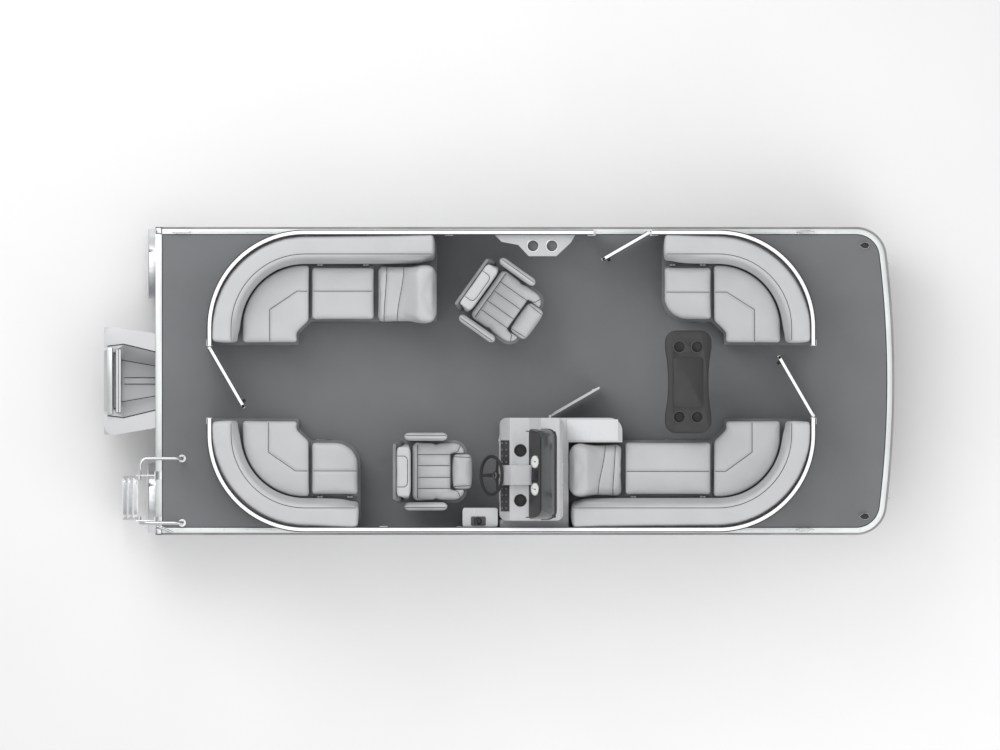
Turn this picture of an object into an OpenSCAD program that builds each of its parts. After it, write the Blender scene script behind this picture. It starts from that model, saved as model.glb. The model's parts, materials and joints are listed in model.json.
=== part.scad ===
// Twin-tube pontoon boat with a fenced deck, four corner lounges, a helm and two swivel chairs.
// Millimetres. +X is the bow, +Y is port, +Z is up. The origin is at the middle of the boat's
// box, on the ground under its two tubes. Modules work in deck coordinates, with X from the
// deck's stern edge, and afloat() moves them to the origin.

/* [Deck] */
// Length of the deck, from its stern edge to the middle of its bow edge
deck_l = 6215; // [5200:5:7500]
// Width over the rub rails
beam = 2591; // [2160:1:3110]
// Thickness of the deck board
deck_t = 22; // [16:1:40]
// Radius of the deck's bow corners
bow_corner_r = 260; // [150:5:320]
// How far the bow edge bulges forward between its corners
bow_bulge = 63; // [20:1:120]
// Width of the rub rail
rub_w = 27; // [15:1:40]
// Height of the rub rail
rub_h = 40; // [20:1:60]
// Width of the bright trim inside the rub rail
trim_w = 34; // [20:1:50]
// Height of the trim above the deck board
trim_t = 4; // [2:0.5:8]
// Width of the trim strip along the stern edge
stern_trim_w = 54; // [30:1:80]
// Height of a crossmember
cross_h = 76; // [50:1:120]
// Width of a crossmember's flanges
cross_w = 40; // [30:1:60]
// Wall of a crossmember
cross_wall = 5; // [3:0.5:8]
// Distance from one crossmember to the next
cross_pitch = 406; // [300:1:610]

/* [Pontoons] */
// Diameter of a pontoon tube
tube_d = 584; // [450:1:720]
// Distance between the tubes' centrelines
tube_track = 1970; // [1700:5:2300]
// Length of the raised nose of a tube
nose_l = 950; // [600:10:1300]
// How far the tubes' end caps stand aft of the deck
tube_overhang = 58; // [20:1:150]
// Depth of the domed end cap
cap_dome = 30; // [15:1:50]
// Width of the keel strip
keel_w = 50; // [30:1:80]
// Height of the keel strip under the tube
keel_h = 12; // [6:1:25]
// Gap from the top of the tube to the crossmembers
riser_h = 44; // [25:1:80]
// Distance between the two riser plates on a tube
riser_gap = 230; // [140:5:320]
// Thickness of a riser plate
riser_t = 8; // [5:0.5:12]
// Radius of the hole in a bow eye
eye_hole_r = 12; // [8:0.5:16]

/* [Motor pod] */
// How far the pod stands aft of the deck
pod_l = 433; // [300:1:600]
// Half width of the pod at its stern end
pod_aft_w = 454; // [300:1:500]
// Half width of the pod where it meets the deck
pod_fore_w = 395; // [280:1:450]
// How far the pod runs forward under the deck
pod_under_l = 1100; // [600:10:1600]
// Height of the pod's rim above the deck board's underside
pod_rim_h = 12; // [0:1:20]
// Depth of the pod from its rim to its keel
pod_depth = 470; // [350:5:550]
// Thickness of the pod's floor and walls
pod_wall = 14; // [8:1:25]
// Thickness of the transom plate
transom_t = 46; // [30:1:60]
// Width of the transom plate
transom_w = 560; // [450:5:700]
// Rake of the transom from upright
transom_rake = 12; // [8:1:16]
// Distance between the two upper motor bolts
upper_bolt_w = 327; // [300:1:350]
// Distance between the two lower motor bolts
lower_bolt_w = 251; // [230:1:270]
// Distance down the transom from the upper to the lower bolts
bolt_drop = 203; // [150:1:230]
// Radius of a motor bolt hole
motor_bolt_r = 6.6; // [5:0.1:8]

/* [Fence] */
// Distance from the boat's middle to the fence's centreline on each side
fence_inset = 45.5; // [30:0.5:90]
// Distance from the stern edge to the stern fence's centreline
stern_deck_l = 453; // [380:1:600]
// Distance from the bow's middle to the bow fence's centreline
bow_deck_l = 683; // [550:1:850]
// Radius of the fence's corners
fence_r = 800; // [600:5:860]
// Height of the fence above the deck
fence_h = 700; // [600:5:900]
// Side of a square rail
rail_w = 32; // [25:1:40]
// Height of the lowest rail above the deck
rail_lift = 25; // [15:1:50]
// Thickness of the fence's sheet
sheet_t = 4; // [2:0.5:8]
// Distance between fence posts, at most
post_pitch = 800; // [500:10:1000]
// Distance from the deck's stern edge to the seam in the starboard fence
seam_x = 3881; // [3000:1:4400]

/* [Gates] */
// Width of the stern and bow gateways
gateway_w = 615; // [500:1:760]
// Width of the side gateway
side_gateway_w = 492; // [400:1:600]
// Distance from the deck's stern edge to the side gateway's aft end
side_gateway_x = 3683; // [3000:1:4300]
// Distance of the stern and bow gateways' middle to starboard
gateway_shift = 7; // [0:1:20]
// Angle at which the gates and the console door stand open
gate_rest = 30; // [5:1:60]
// Radius of a gate's hinge stile
stile_r = 14; // [12:0.5:18]
// Radius of a hinge pin
pin_r = 6; // [4:0.5:8]
// Depth of a hinge pin in its stile
pin_depth = 30; // [15:1:60]
// Thickness of a hinge bracket
bracket_t = 6; // [4:0.5:10]
// Thickness of a gate
gate_t = 26; // [20:1:32]

/* [Lounges] */
// Distance from the fence's centreline to the front of the seats
seat_reach = 742; // [600:1:800]
// Thickness of a backrest at its top
back_t = 198; // [120:1:240]
// How much further forward a backrest's foot stands than its top
back_rake = 43; // [10:1:80]
// Cut across the inner corner of the seats
corner_cut = 108; // [60:1:160]
// Radius of the free corner of the short lounges
free_corner_r = 206; // [100:1:240]
// Height of a seat base above the deck
base_h = 300; // [240:5:360]
// Height of a seat's top above the deck
seat_h = 430; // [380:5:480]
// Height of a backrest's top above the deck
back_h = 720; // [620:5:820]
// Wall of a seat base
base_wall = 22; // [15:1:35]
// How far a base's dark lip stands out beyond its cushions
base_lip = 10; // [4:1:20]
// Thickness of a seat's lid board
lid_t = 12; // [8:1:20]
// Length of the port aft lounge, from the stern fence's centreline
port_aft_l = 1906; // [1600:1:2200]
// Length of the starboard aft lounge, from the stern fence's centreline
starboard_aft_l = 1262; // [1100:1:1500]
// Length of the port bow lounge, from the bow fence's centreline
port_bow_l = 1265; // [1100:1:1350]
// Length of the starboard bow lounge, from the bow fence's centreline
starboard_bow_l = 2047; // [1700:1:2060]
// Length of the chaise at the end of the port aft lounge
port_chaise_l = 510; // [400:1:600]
// Length of the chaise at the end of the starboard bow lounge
starboard_chaise_l = 453; // [360:1:540]
// How far the port chaise stands out beyond the seats' front
chaise_proud = 28; // [5:1:40]
// Height of a chaise's headrest above the deck
chaise_h = 690; // [560:5:760]
// Radius of a lid hinge's rod
lid_rod_r = 5; // [3:0.5:7]

/* [Helm] */
// Distance from the deck's stern edge to the console's aft face
console_x = 2892; // [2700:1:3000]
// Length of the helm part of the console
console_l = 537; // [420:1:560]
// Distance from the boat's middle to the console's port face
console_port_y = 310; // [260:1:360]
// Distance from the boat's middle to the console's starboard face
console_starboard_y = 1175; // [1000:1:1200]
// Distance from the deck's stern edge to the front of the locker beside the chaise
locker_x = 3926; // [3850:1:4100]
// Depth of the locker, from its door inwards
locker_w = 206; // [150:1:230]
// Radius of the locker's front corner
locker_r = 110; // [60:1:150]
// Height of the locker above the deck
locker_h = 560; // [480:5:640]
// Wall of the console
console_wall = 25; // [15:1:35]
// Height of the dash shelf above the deck
shelf_h = 800; // [700:5:900]
// Height of the gauge pod above the deck
pod_top_h = 925; // [850:5:1000]
// Height of the windscreen's top above the deck
screen_h = 1180; // [1080:5:1300]
// Thickness of the windscreen
screen_t = 6; // [4:0.5:10]
// Width of the console door
door_l = 482; // [400:1:520]
// Height of the console door
door_h = 480; // [380:5:520]
// Thickness of the console door
door_t = 18; // [12:1:25]
// Outer diameter of the steering wheel
wheel_d = 348; // [300:1:400]
// Radius of the wheel's rim section
wheel_rim_r = 14; // [10:0.5:18]
// Angle of the steering shaft above level
wheel_tilt = 34; // [20:1:50]
// Radius of the steering shaft
shaft_r = 10; // [8:0.5:14]
// Radius of a cup holder's bore
cup_r = 45; // [38:1:50]
// Depth of a cup holder
cup_depth = 62; // [40:1:80]

/* [Chairs] */
// Distance from the deck's stern edge to the helm chair's swivel
helm_chair_x = 2308; // [2200:1:2320]
// Distance of the helm chair's swivel to starboard of the boat's middle
helm_chair_y = 762; // [740:1:790]
// Distance from the deck's stern edge to the companion chair's swivel
mate_chair_x = 2902; // [2850:1:3000]
// Distance of the companion chair's swivel to port of the boat's middle
mate_chair_y = 659; // [600:1:700]
// Angle that the companion chair is turned towards starboard
mate_chair_turn = 35.5; // [0:0.5:60]
// Width of a chair's seat
chair_w = 505; // [420:1:540]
// Width over a chair's arms
chair_arm_w = 642; // [560:1:680]
// Length of a chair from its back to its front
chair_l = 663; // [580:1:680]
// Distance from a chair's swivel to the front of its seat
chair_reach = 351; // [300:1:370]
// Height of a chair's seat above the deck
chair_seat_h = 470; // [420:5:520]
// Height of a chair's back above the deck
chair_back_h = 1020; // [900:5:1100]
// Radius of a chair's swivel spigot
spigot_r = 20; // [15:0.5:25]

/* [Tables] */
// Length of the cocktail table across the boat
table_l = 856; // [700:1:900]
// Width of the cocktail table at its ends
table_w = 382; // [300:1:420]
// How much narrower each long side is at the table's waist
table_waist = 26; // [10:1:40]
// Height of the cocktail table above the deck
table_h = 690; // [600:5:760]
// Thickness of a table top
table_t = 30; // [20:1:45]
// Distance from the deck's stern edge to the cocktail table's middle
table_x = 4480; // [4440:1:4520]
// Distance from the deck's stern edge to the side table's aft end
side_table_x = 2849; // [2700:1:2900]
// Length of the side table along the fence
side_table_l = 683; // [560:1:760]
// Depth of the side table from the fence
side_table_w = 183; // [150:1:230]
// Height of the side table above the deck
side_table_h = 640; // [540:5:680]

/* [Ladder] */
// Distance from the boat's middle to the ladder's outer stile
ladder_outer_y = 1156; // [1100:1:1170]
// Distance from the boat's middle to the ladder's inner stile
ladder_inner_y = 815; // [760:1:840]
// Distance from the boat's middle to the inner handrail
handrail_inner_y = 652; // [600:1:700]
// Radius of the ladder's and handrails' tube
ladder_r = 14.5; // [12:0.5:18]
// Distance aft of the deck to the ladder's pivot
pivot_aft = 140; // [110:1:170]
// Height of the ladder's pivot above the deck
pivot_h = 35; // [20:1:60]
// Angle that the lowered ladder leans aft
ladder_lean = 12; // [5:1:20]
// Distance from one step to the next
step_pitch = 215; // [180:1:230]
// Number of steps
steps = 3; // [2:1:3]
// Depth of a step
step_w = 42; // [30:1:60]
// How far the handrails run forward over the deck
handrail_fore = 223; // [150:1:260]
// Height of the handrails above the deck
handrail_h = 240; // [160:5:300]

/* [Fittings] */
// Length of a cleat
cleat_l = 160; // [120:1:200]
// Length of a bow light
light_l = 88; // [60:1:110]
// Width of a bow light
light_w = 63; // [45:1:80]

/* [Clearances] */
// Radial clearance of a pin or shaft in its bore
pin_clear = 0.05; // [0.02:0.01:0.1]
// Gap between a moving part and the face that it rests on or turns beside
seat_clear = 0.3; // [0.2:0.05:0.6]
// Gap between neighbouring cushions
cushion_gap = 6; // [3:1:12]
// Gap round the swinging edges of gates and doors
swing_gap = 12; // [8:1:20]
// Gap between one fence section and the next
seam_gap = 2; // [1:0.5:5]

/* [Hidden] */
$fn = 48;

// Heights
tube_z = keel_h + tube_d / 2;
cross_z = keel_h + tube_d + riser_h;
board_z = cross_z + cross_h;
deck_z = board_z + deck_t;

// Lengths and the whole boat's middle
tube_y = tube_track / 2;
hook_l = 17;
aft_x = -pod_l - hook_l;
mid_x = (deck_l + aft_x) / 2;

// The bow edge is a wide arc that meets both corner arcs smoothly
bow_corner_x = deck_l - bow_bulge - bow_corner_r;
bow_corner_y = beam / 2 - bow_corner_r;
bow_turn = 2 * atan(bow_bulge / bow_corner_y);
bow_arc_r = bow_corner_r + bow_corner_y / sin(bow_turn);
bow_arc_x = deck_l - bow_arc_r;
skirt_t = 4;

// Fence
fence_y = beam / 2 - fence_inset;
stern_fence_x = stern_deck_l;
bow_fence_x = deck_l - bow_deck_l;
gateway_port_y = gateway_w / 2 - gateway_shift;
gateway_starboard_y = -gateway_w / 2 - gateway_shift;
hinge_inset = stile_r + 6;
gate_l = gateway_w - hinge_inset - swing_gap;
side_gate_l = side_gateway_w - hinge_inset - swing_gap;
gate_z = deck_z + rail_lift + 30;
gate_top = deck_z + fence_h - bracket_t - seat_clear;
port_end_l = fence_y - gateway_port_y;
starboard_end_l = fence_y + gateway_starboard_y;
stern_axis_y = gateway_port_y - hinge_inset;
bow_axis_y = gateway_starboard_y + hinge_inset;
side_axis_x = side_gateway_x + side_gateway_w - hinge_inset;

// Motor pod
transom_h = 400;
transom_top = 54;
bolt_from_top = 55;
well_side_y = 309;
well_side_fore_y = 245;
well_floor_y = 177;
well_floor_fore_y = 127;
pod_corner_r = 80;
well_aft_y = 240;
well_aft_x = 352;
well_fore_x = 266;
well_floor_h = 90;
hook_y = 170;
hook_w = 28;
hook_drop = 60;

// Ladder
pivot_x = -pivot_aft;
pivot_z = deck_z + pivot_h;
first_step = 120;
eye_r = ladder_r + 5;
eye_l = 2 * ladder_r + 2;
plate_t = 10;
plate_reach = 24;
rail_bend = 60;

// Lounges, in distances inboard of the fence's centreline
back_rear = rail_w / 2 + 4;
back_foot = back_rear + back_t + back_rake;
hinge_u = back_foot + lid_rod_r + 7;
cushion_rear = hinge_u + lid_rod_r + 8;
lid_start = seat_reach + corner_cut;
hinge_z = deck_z + seat_h - 2;
sleeve_r = lid_rod_r + 3;
sleeve_l = 20;
hinge_from_end = 80;
lounge_end_gap = 12;

// Helm
locker_reach = fence_y - console_port_y - locker_w - 2;
console_aft_top = shelf_h - 100;
dash_z = locker_h;
helm_y = (console_port_y + console_starboard_y) / 2 + 52;
wheel_x = console_x - 66;
wheel_h = 790;
console_fore_x = console_x + console_l;
console_r = 60;
ledge_gap = 2;
ledge_x = bow_fence_x - starboard_bow_l - base_lip - ledge_gap;
door_x = 3317;
door_axis_y = 14 - console_port_y;
cup_x = console_x + 176;
cup_apart = 420;
cup_inner_y = cup_apart / 2 - helm_y;
cup_outer_y = -cup_apart / 2 - helm_y;
throttle_x = 2582;
throttle_w = 164;
throttle_h = 640;
lever_l = 120;
door_bottom = 50;
shaft_l = 150;

// Chairs
chair_back_x = chair_reach - chair_l;
hub_h = chair_seat_h - 200;
hub_seat = 60;
pan_t = 40;
pan_drop = 165;
arm_gap = 12;
bolster_l = 159;
bolster_w = 300;
bolster_gap = 6;
shoulder_r = 100;
seat_front = 50;

// Tables
cup_step = 150;
cup_reach = 295;
side_cup_x = 326;
side_cup_step = 159;
side_cup_y = 96;
side_leg_x = 405;
table_y = -8;

// ---------------------------------------------------------------- shared shapes

module afloat() translate([-mid_x, 0, 0]) children();

// A box between two opposite corners
module block(lo, hi) translate(lo) cube(hi - lo);

// A flat outline with rounded corners
module round_plan(size, r) {
    translate([r, 0]) square([size[0] - 2 * r, size[1]]);
    translate([0, r]) square([size[0], size[1] - 2 * r]);
    for (x = [r, size[0] - r], y = [r, size[1] - r]) translate([x, y]) circle(r);
}

// A box between two corners, with its upright edges rounded
module soft_block(lo, hi, r) translate(lo) linear_extrude(hi[2] - lo[2])
    round_plan([hi[0] - lo[0], hi[1] - lo[1]], r);

// A round bar between two points
module bar(a, b, r) {
    d = b - a;
    translate(a) rotate([0, acos(d[2] / norm(d)), atan2(d[1], d[0])]) cylinder(r = r, h = norm(d));
}

// A quarter bend of round tube in the XY plane, from +x to +y
module elbow(r, bend) rotate_extrude(angle = 90) translate([bend, 0]) circle(r);

// Places a lounge or fence at its corner. There x runs inboard from the end fence's
// centreline and y inboard from the side fence's. end is -1 at the stern and 1 at the bow,
// and side is 1 to port and -1 to starboard.
module at_corner(end, side) {
    x = end < 0 ? stern_fence_x : bow_fence_x;
    translate([x, side * fence_y, 0])
        mirror([end < 0 ? 0 : 1, 0, 0])
            mirror([0, side < 0 ? 0 : 1, 0])
                children();
}

// Sweeps a profile along the side, round the corner and along the end. The profile's x is
// the distance inboard of the fence's centreline and its y is the height.
module corner_run(side_l, end_l) {
    translate([fence_r, 0, 0])
        rotate([90, 0, 90]) linear_extrude(side_l - fence_r) children();
    translate([fence_r, fence_r, 0])
        rotate(180) rotate_extrude(angle = 90, $fn = 96)
            translate([fence_r, 0]) mirror([1, 0]) children();
    translate([0, end_l, 0])
        rotate([90, 0, 0]) linear_extrude(end_l - fence_r) children();
}

// Rounds off the fence corner of a plan, at a distance inboard of the fence's centreline
module fence_corner_cut(inset) difference() {
    translate([-1, -1]) square(fence_r + 1);
    translate([fence_r, fence_r]) circle(fence_r - inset, $fn = 96);
}

// ---------------------------------------------------------------- hull

// The deck's outline, at a distance in from the rub rail's outer face
module deck_plan(inset) {
    r = bow_corner_r - inset;
    bow_w = bow_corner_y + r * sin(bow_turn);
    translate([0, inset - beam / 2]) square([bow_corner_x, beam - 2 * inset]);
    for (side = [-1, 1]) translate([bow_corner_x, side * bow_corner_y]) circle(r);
    intersection() {
        translate([bow_arc_x, 0]) circle(bow_arc_r - inset, $fn = 256);
        translate([bow_corner_x - 1, -bow_w]) square([bow_corner_r + bow_bulge + 2, 2 * bow_w]);
    }
}

module pontoon(side) color("silver") {
    nose_x = deck_l - bow_bulge - nose_l;
    tip_x = nose_x + nose_l;
    translate([0, side * tube_y, 0]) {
        // Tube with a domed cap
        translate([-tube_overhang, 0, tube_z]) rotate([0, 90, 0])
            cylinder(d = tube_d, h = nose_x + tube_overhang + 1);
        translate([-tube_overhang, 0, tube_z]) rotate([0, 90, 0]) end_dome();
        // Nose that rises to the deck
        hull() for (t = [0:0.2:1]) {
            nose_r = tube_d / 2 * sqrt(1 - pow(0.93 * t, 2.2));
            translate([nose_x + nose_l * 0.97 * t, 0, tube_z + (tube_d / 2 - nose_r) * 0.82])
                rotate([0, 90, 0]) cylinder(r = nose_r, h = 6, $fn = 40);
        }
        // Keel strip
        block([120, -keel_w / 2, 0], [nose_x + 60, keel_w / 2, tube_z - tube_d / 2 + 10]);
        // Riser plates with a flange under the crossmembers
        for (y = [-1, 1]) {
            block([20, y * riser_gap / 2 - riser_t / 2, tube_z + tube_d / 2 - 60],
                  [nose_x + 150, y * riser_gap / 2 + riser_t / 2, cross_z]);
            block([20, y * riser_gap / 2 - 30, cross_z - riser_t],
                  [nose_x + 150, y * riser_gap / 2 + 30, cross_z]);
        }
        // Spray strake on each flank
        for (side = [-1, 1]) strake(side, nose_x);
        // Bow eye
        bow_eye(tip_x);
    }
}

module end_dome() {
    dome_r = (pow(tube_d / 2, 2) + cap_dome * cap_dome) / (2 * cap_dome);
    rotate_extrude() intersection() {
        translate([0, dome_r - cap_dome]) circle(dome_r, $fn = 360);
        translate([0, -cap_dome]) square([tube_d / 2, cap_dome + 1]);
    }
}

module strake(side, nose_x) {
    near = side * (tube_d / 2 - 8);
    far = side * (tube_d / 2 + 26);
    translate([0, 0, tube_z]) rotate([side * 38, 0, 0])
        block([200, min(near, far), -5], [nose_x - 40, max(near, far), 5]);
}

module bow_eye(tip_x) {
    eye_z = tube_z + tube_d / 2 - 70;
    difference() {
        union() {
            block([tip_x - 70, -6, eye_z - 26], [tip_x, 6, eye_z + 26]);
            translate([tip_x, 6, eye_z]) rotate([90, 0, 0]) cylinder(r = 26, h = 12);
        }
        translate([tip_x, 10, eye_z]) rotate([90, 0, 0]) cylinder(r = eye_hole_r, h = 20);
    }
}

module port_pontoon() pontoon(1);

module starboard_pontoon() pontoon(-1);

module crossmembers() color("lightgray") {
    reach = beam / 2 - rub_w - skirt_t;
    count = floor((bow_corner_x - 60) / cross_pitch);
    for (i = [0:count]) translate([60 + i * cross_pitch, 0, cross_z]) difference() {
        block([0, -reach, 0], [cross_w, reach, cross_h]);
        block([cross_wall, -reach - 1, cross_wall], [cross_w + 1, reach + 1, cross_h - cross_wall]);
    }
}

module deck() color("gray") translate([0, 0, board_z]) linear_extrude(deck_t) difference() {
    deck_plan(rub_w + skirt_t);
    translate([-1, -beam]) square([skirt_t + 1, 2 * beam]);
}

module deck_trim() color("gainsboro") {
    // Skirt that hides the crossmembers' ends
    translate([0, 0, cross_z]) linear_extrude(cross_h + deck_t) difference() {
        deck_plan(rub_w);
        difference() {
            deck_plan(rub_w + skirt_t);
            translate([-1, -beam]) square([skirt_t + 1, 2 * beam]);
        }
    }
    // Rub rail
    translate([0, 0, deck_z - rub_h - 6]) linear_extrude(rub_h) difference() {
        deck_plan(0);
        deck_plan(rub_w + 1);
    }
    // Bright trim on the board's edge, with its wider strip at the stern
    translate([0, 0, deck_z]) linear_extrude(trim_t) difference() {
        deck_plan(rub_w - 6);
        difference() {
            deck_plan(rub_w + trim_w);
            translate([-1, -beam]) square([stern_trim_w + 1, 2 * beam]);
        }
    }
}

// ---------------------------------------------------------------- motor pod

// One flat layer of the pod, from its stern end to its front under the deck
module pod_layer(z, aft, fore, front, inset) {
    translate([0, 0, z]) linear_extrude(1) polygon([
        [-pod_l + inset, -aft + inset], [-pod_l + inset, aft - inset],
        [0, fore - inset], [front - inset, fore * 0.7 - inset],
        [front - inset, inset - fore * 0.7], [0, inset - fore],
    ]);
}

module motor_pod() color("silver") {
    rim_z = cross_z;
    rim_top = board_z + pod_rim_h;
    keel_z = board_z - pod_depth;
    difference() {
        union() {
            // Body under the deck
            hull() {
                pod_layer(rim_z - 1, pod_aft_w, pod_fore_w, pod_under_l, 0);
                pod_layer(rim_z - 120, pod_aft_w - 40, pod_fore_w - 40, pod_under_l, 0);
                pod_layer(keel_z, 150, 120, pod_under_l - 260, 0);
            }
            // Walls aft of the deck, up to the rim
            hull() {
                for (side = [-1, 1])
                    translate([pod_corner_r - pod_l, side * (pod_aft_w - pod_corner_r), rim_z - 1])
                        cylinder(r = pod_corner_r, h = rim_top - rim_z);
                block([-2, -pod_fore_w, rim_z - 1], [-1, pod_fore_w, rim_top - 1]);
            }
            // Hooks on the stern face
            for (y = [-hook_y, hook_y])
                block([aft_x, y - hook_w / 2, board_z - hook_drop],
                      [30 - pod_l, y + hook_w / 2, board_z - hook_drop / 2]);
        }
        // Well in front of the transom
        hull() {
            block([-well_fore_x, -well_side_y, rim_top], [1 - well_fore_x, well_side_y, rim_top + 30]);
            block([-2, -well_side_fore_y, rim_top], [-1, well_side_fore_y, rim_top + 30]);
            block([-well_aft_x, -well_aft_y, rim_top], [10 - well_aft_x, well_aft_y, rim_top + 30]);
            translate([0, 0, keel_z + well_floor_h]) {
                block([-well_fore_x - 22, -well_floor_y, 0], [-well_fore_x - 21, well_floor_y, 10]);
                block([-2, -well_floor_fore_y, 0], [-1, well_floor_fore_y, 10]);
            }
        }
        // Seat for the transom plate
        transom_seat();
    }
}

// Places the transom: its aft face's top edge is the origin, +x is its normal into the boat
module at_transom() translate([22 - pod_l, 0, board_z + transom_top])
    rotate([0, -transom_rake, 0]) children();

module transom_seat() at_transom() block([-200, -transom_w / 2 - seat_clear, -transom_h - seat_clear],
    [transom_t + seat_clear, transom_w / 2 + seat_clear, 20]);

module motor_transom() color("gainsboro") at_transom() difference() {
    block([0, -transom_w / 2, -transom_h], [transom_t, transom_w / 2, 0]);
    for (y = [-1, 1]) {
        translate([-1, y * upper_bolt_w / 2, -bolt_from_top]) rotate([0, 90, 0])
            cylinder(r = motor_bolt_r, h = transom_t + 2);
        translate([-1, y * lower_bolt_w / 2, -bolt_from_top - bolt_drop]) rotate([0, 90, 0])
            cylinder(r = motor_bolt_r, h = transom_t + 2);
    }
}

// ---------------------------------------------------------------- fittings

module cleat() {
    foot = cleat_l * 0.28;
    for (x = [-1, 1]) translate([x * foot / 1.6, 0, 0]) cylinder(r = 11, h = 26);
    soft_block([-foot - 6, -15, 0], [foot + 6, 15, 5], 14);
    bar([-cleat_l / 2 + 7, 0, 26], [cleat_l / 2 - 7, 0, 26], 7);
    for (x = [-1, 1]) translate([x * (cleat_l / 2 - 7), 0, 26]) sphere(7);
}

module cleats() color("silver") {
    trim_y = beam / 2 - rub_w - 16;
    top = deck_z + trim_t;
    translate([219, trim_y, top]) cleat();
    translate([80, 4 - trim_y, top]) rotate(-22) cleat();
    for (side = [-1, 1]) translate([bow_corner_x - 430, side * trim_y, top]) cleat();
}

module nav_lights() color("dimgray") for (side = [-1, 1])
    translate([bow_corner_x + 69, side * (beam / 2 - 156), deck_z]) hull() {
        translate([light_l / 2 - light_w / 2, 0, 0]) cylinder(d = light_w, h = 14, $fn = 32);
        translate([light_l / 2 - light_w / 2, 0, 0]) cylinder(d = light_w * 0.7, h = 30, $fn = 32);
        translate([6 - light_l / 2, 0, 0]) cylinder(r = 6, h = 12, $fn = 32);
    }

// ---------------------------------------------------------------- boarding ladder

// Point on a stile at a distance from the pivot
function stile_at(y, d) = [pivot_x - d * sin(ladder_lean), y, pivot_z - d * cos(ladder_lean)];

module boarding_ladder() color("silver") {
    stile_l = first_step + (steps - 1) * step_pitch + 40;
    difference() {
        union() for (y = [-ladder_inner_y, -ladder_outer_y]) {
            bar(stile_at(y, 0), stile_at(y, stile_l), ladder_r);
            translate(stile_at(y, stile_l)) sphere(ladder_r);
            translate([pivot_x, y + eye_l / 2, pivot_z]) rotate([90, 0, 0]) cylinder(r = eye_r, h = eye_l);
        }
        translate([pivot_x, 0, pivot_z]) rotate([90, 0, 0])
            cylinder(r = pin_r + pin_clear, h = 2 * ladder_outer_y);
    }
    for (i = [0:steps - 1]) translate(stile_at(0, first_step + i * step_pitch))
        block([-step_w / 2 - 4, 2 - ladder_outer_y, -9], [step_w / 2 - 4, -ladder_inner_y - 2, 9]);
}

// A bracket plate beside one of the ladder's eyes, with the pin that carries it
module ladder_bracket(y, out) {
    face = y + out * (eye_l / 2 + seat_clear);
    lo = min(face, face + out * plate_t);
    block([pivot_x - plate_reach, lo, pivot_z - plate_reach], [-1, lo + plate_t, pivot_z + plate_reach]);
    block([-9, lo - 30, cross_z + 20], [-1, lo + 38, deck_z + trim_t + 40]);
    block([-9, lo - 30, deck_z + trim_t], [stern_trim_w, lo + 38, deck_z + trim_t + 6]);
    bar([pivot_x, face + out, pivot_z], [pivot_x, y - out * (eye_l / 2 - 2), pivot_z], pin_r);
}

// A handrail: up from its flange on the deck, aft, and down to its bracket. If the bracket is
// not in line with the flange, the rail jogs sideways before it goes down.
module handrail(foot_y, end_y) {
    r = ladder_r;
    top = deck_z + handrail_h;
    aft = pivot_x + 10;
    jog = foot_y - end_y;
    jog_bend = jog > 0 ? min(rail_bend, jog / 2 - 1) : rail_bend;
    // Flange, front leg and the bar over the deck
    translate([handrail_fore, foot_y, deck_z]) cylinder(r = 32, h = 8);
    translate([handrail_fore, foot_y, deck_z]) cylinder(r = r, h = handrail_h - rail_bend);
    translate([handrail_fore - rail_bend, foot_y, top - rail_bend]) rotate([90, 0, 0]) elbow(r, rail_bend);
    translate([handrail_fore - rail_bend, foot_y, top]) rotate([0, -90, 0])
        cylinder(r = r, h = handrail_fore - rail_bend - aft - jog_bend);
    // Bend down to the bracket, with the jog if there is one
    if (jog > 0) {
        translate([aft + jog_bend, foot_y - jog_bend, top]) rotate(90) elbow(r, jog_bend);
        translate([aft, foot_y - jog_bend, top]) rotate([90, 0, 0])
            cylinder(r = r, h = jog - 2 * jog_bend);
        translate([aft, end_y + jog_bend, top - jog_bend]) rotate([90, 0, 90])
            rotate(90) elbow(r, jog_bend);
    } else {
        translate([aft + jog_bend, foot_y, top - jog_bend]) rotate([90, 0, 0])
            rotate(90) elbow(r, jog_bend);
    }
    translate([aft, end_y, pivot_z + 20]) cylinder(r = r, h = top - jog_bend - pivot_z - 20);
}

module ladder_handrails() color("silver") {
    out_plate = eye_l / 2 + seat_clear + plate_t + ladder_r - 2;
    handrail(-handrail_inner_y, out_plate - ladder_inner_y);
    handrail(-ladder_outer_y - out_plate, -ladder_outer_y - out_plate);
    ladder_bracket(-ladder_inner_y, 1);
    ladder_bracket(-ladder_outer_y, -1);
}

// ---------------------------------------------------------------- fence and gates

module fence_profile() {
    sheet_h = fence_h - rail_lift - 2 * rail_w;
    translate([-rail_w / 2, deck_z + fence_h - rail_w]) square(rail_w);
    translate([-rail_w / 2, deck_z + rail_lift]) square(rail_w);
    translate([-rail_w / 2, deck_z + rail_lift + rail_w - 1]) square([sheet_t, sheet_h + 2]);
}

// A post along the side of a fence, down to the trim, or along its end, down to the deck
module post_side(x)
    block([x, -rail_w / 2, deck_z + trim_t], [x + rail_w, rail_w / 2, deck_z + fence_h - 1]);

module post_end(y)
    block([-rail_w / 2, y - rail_w, deck_z], [rail_w / 2, y, deck_z + fence_h - 1]);

module fence(side_l, end_l) {
    corner_run(side_l, end_l) fence_profile();
    post_side(side_l - rail_w);
    post_end(end_l);
    bays = ceil((side_l - fence_r) / post_pitch);
    for (i = [0:bays - 1]) post_side(fence_r + i * (side_l - fence_r - rail_w) / bays);
}

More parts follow.
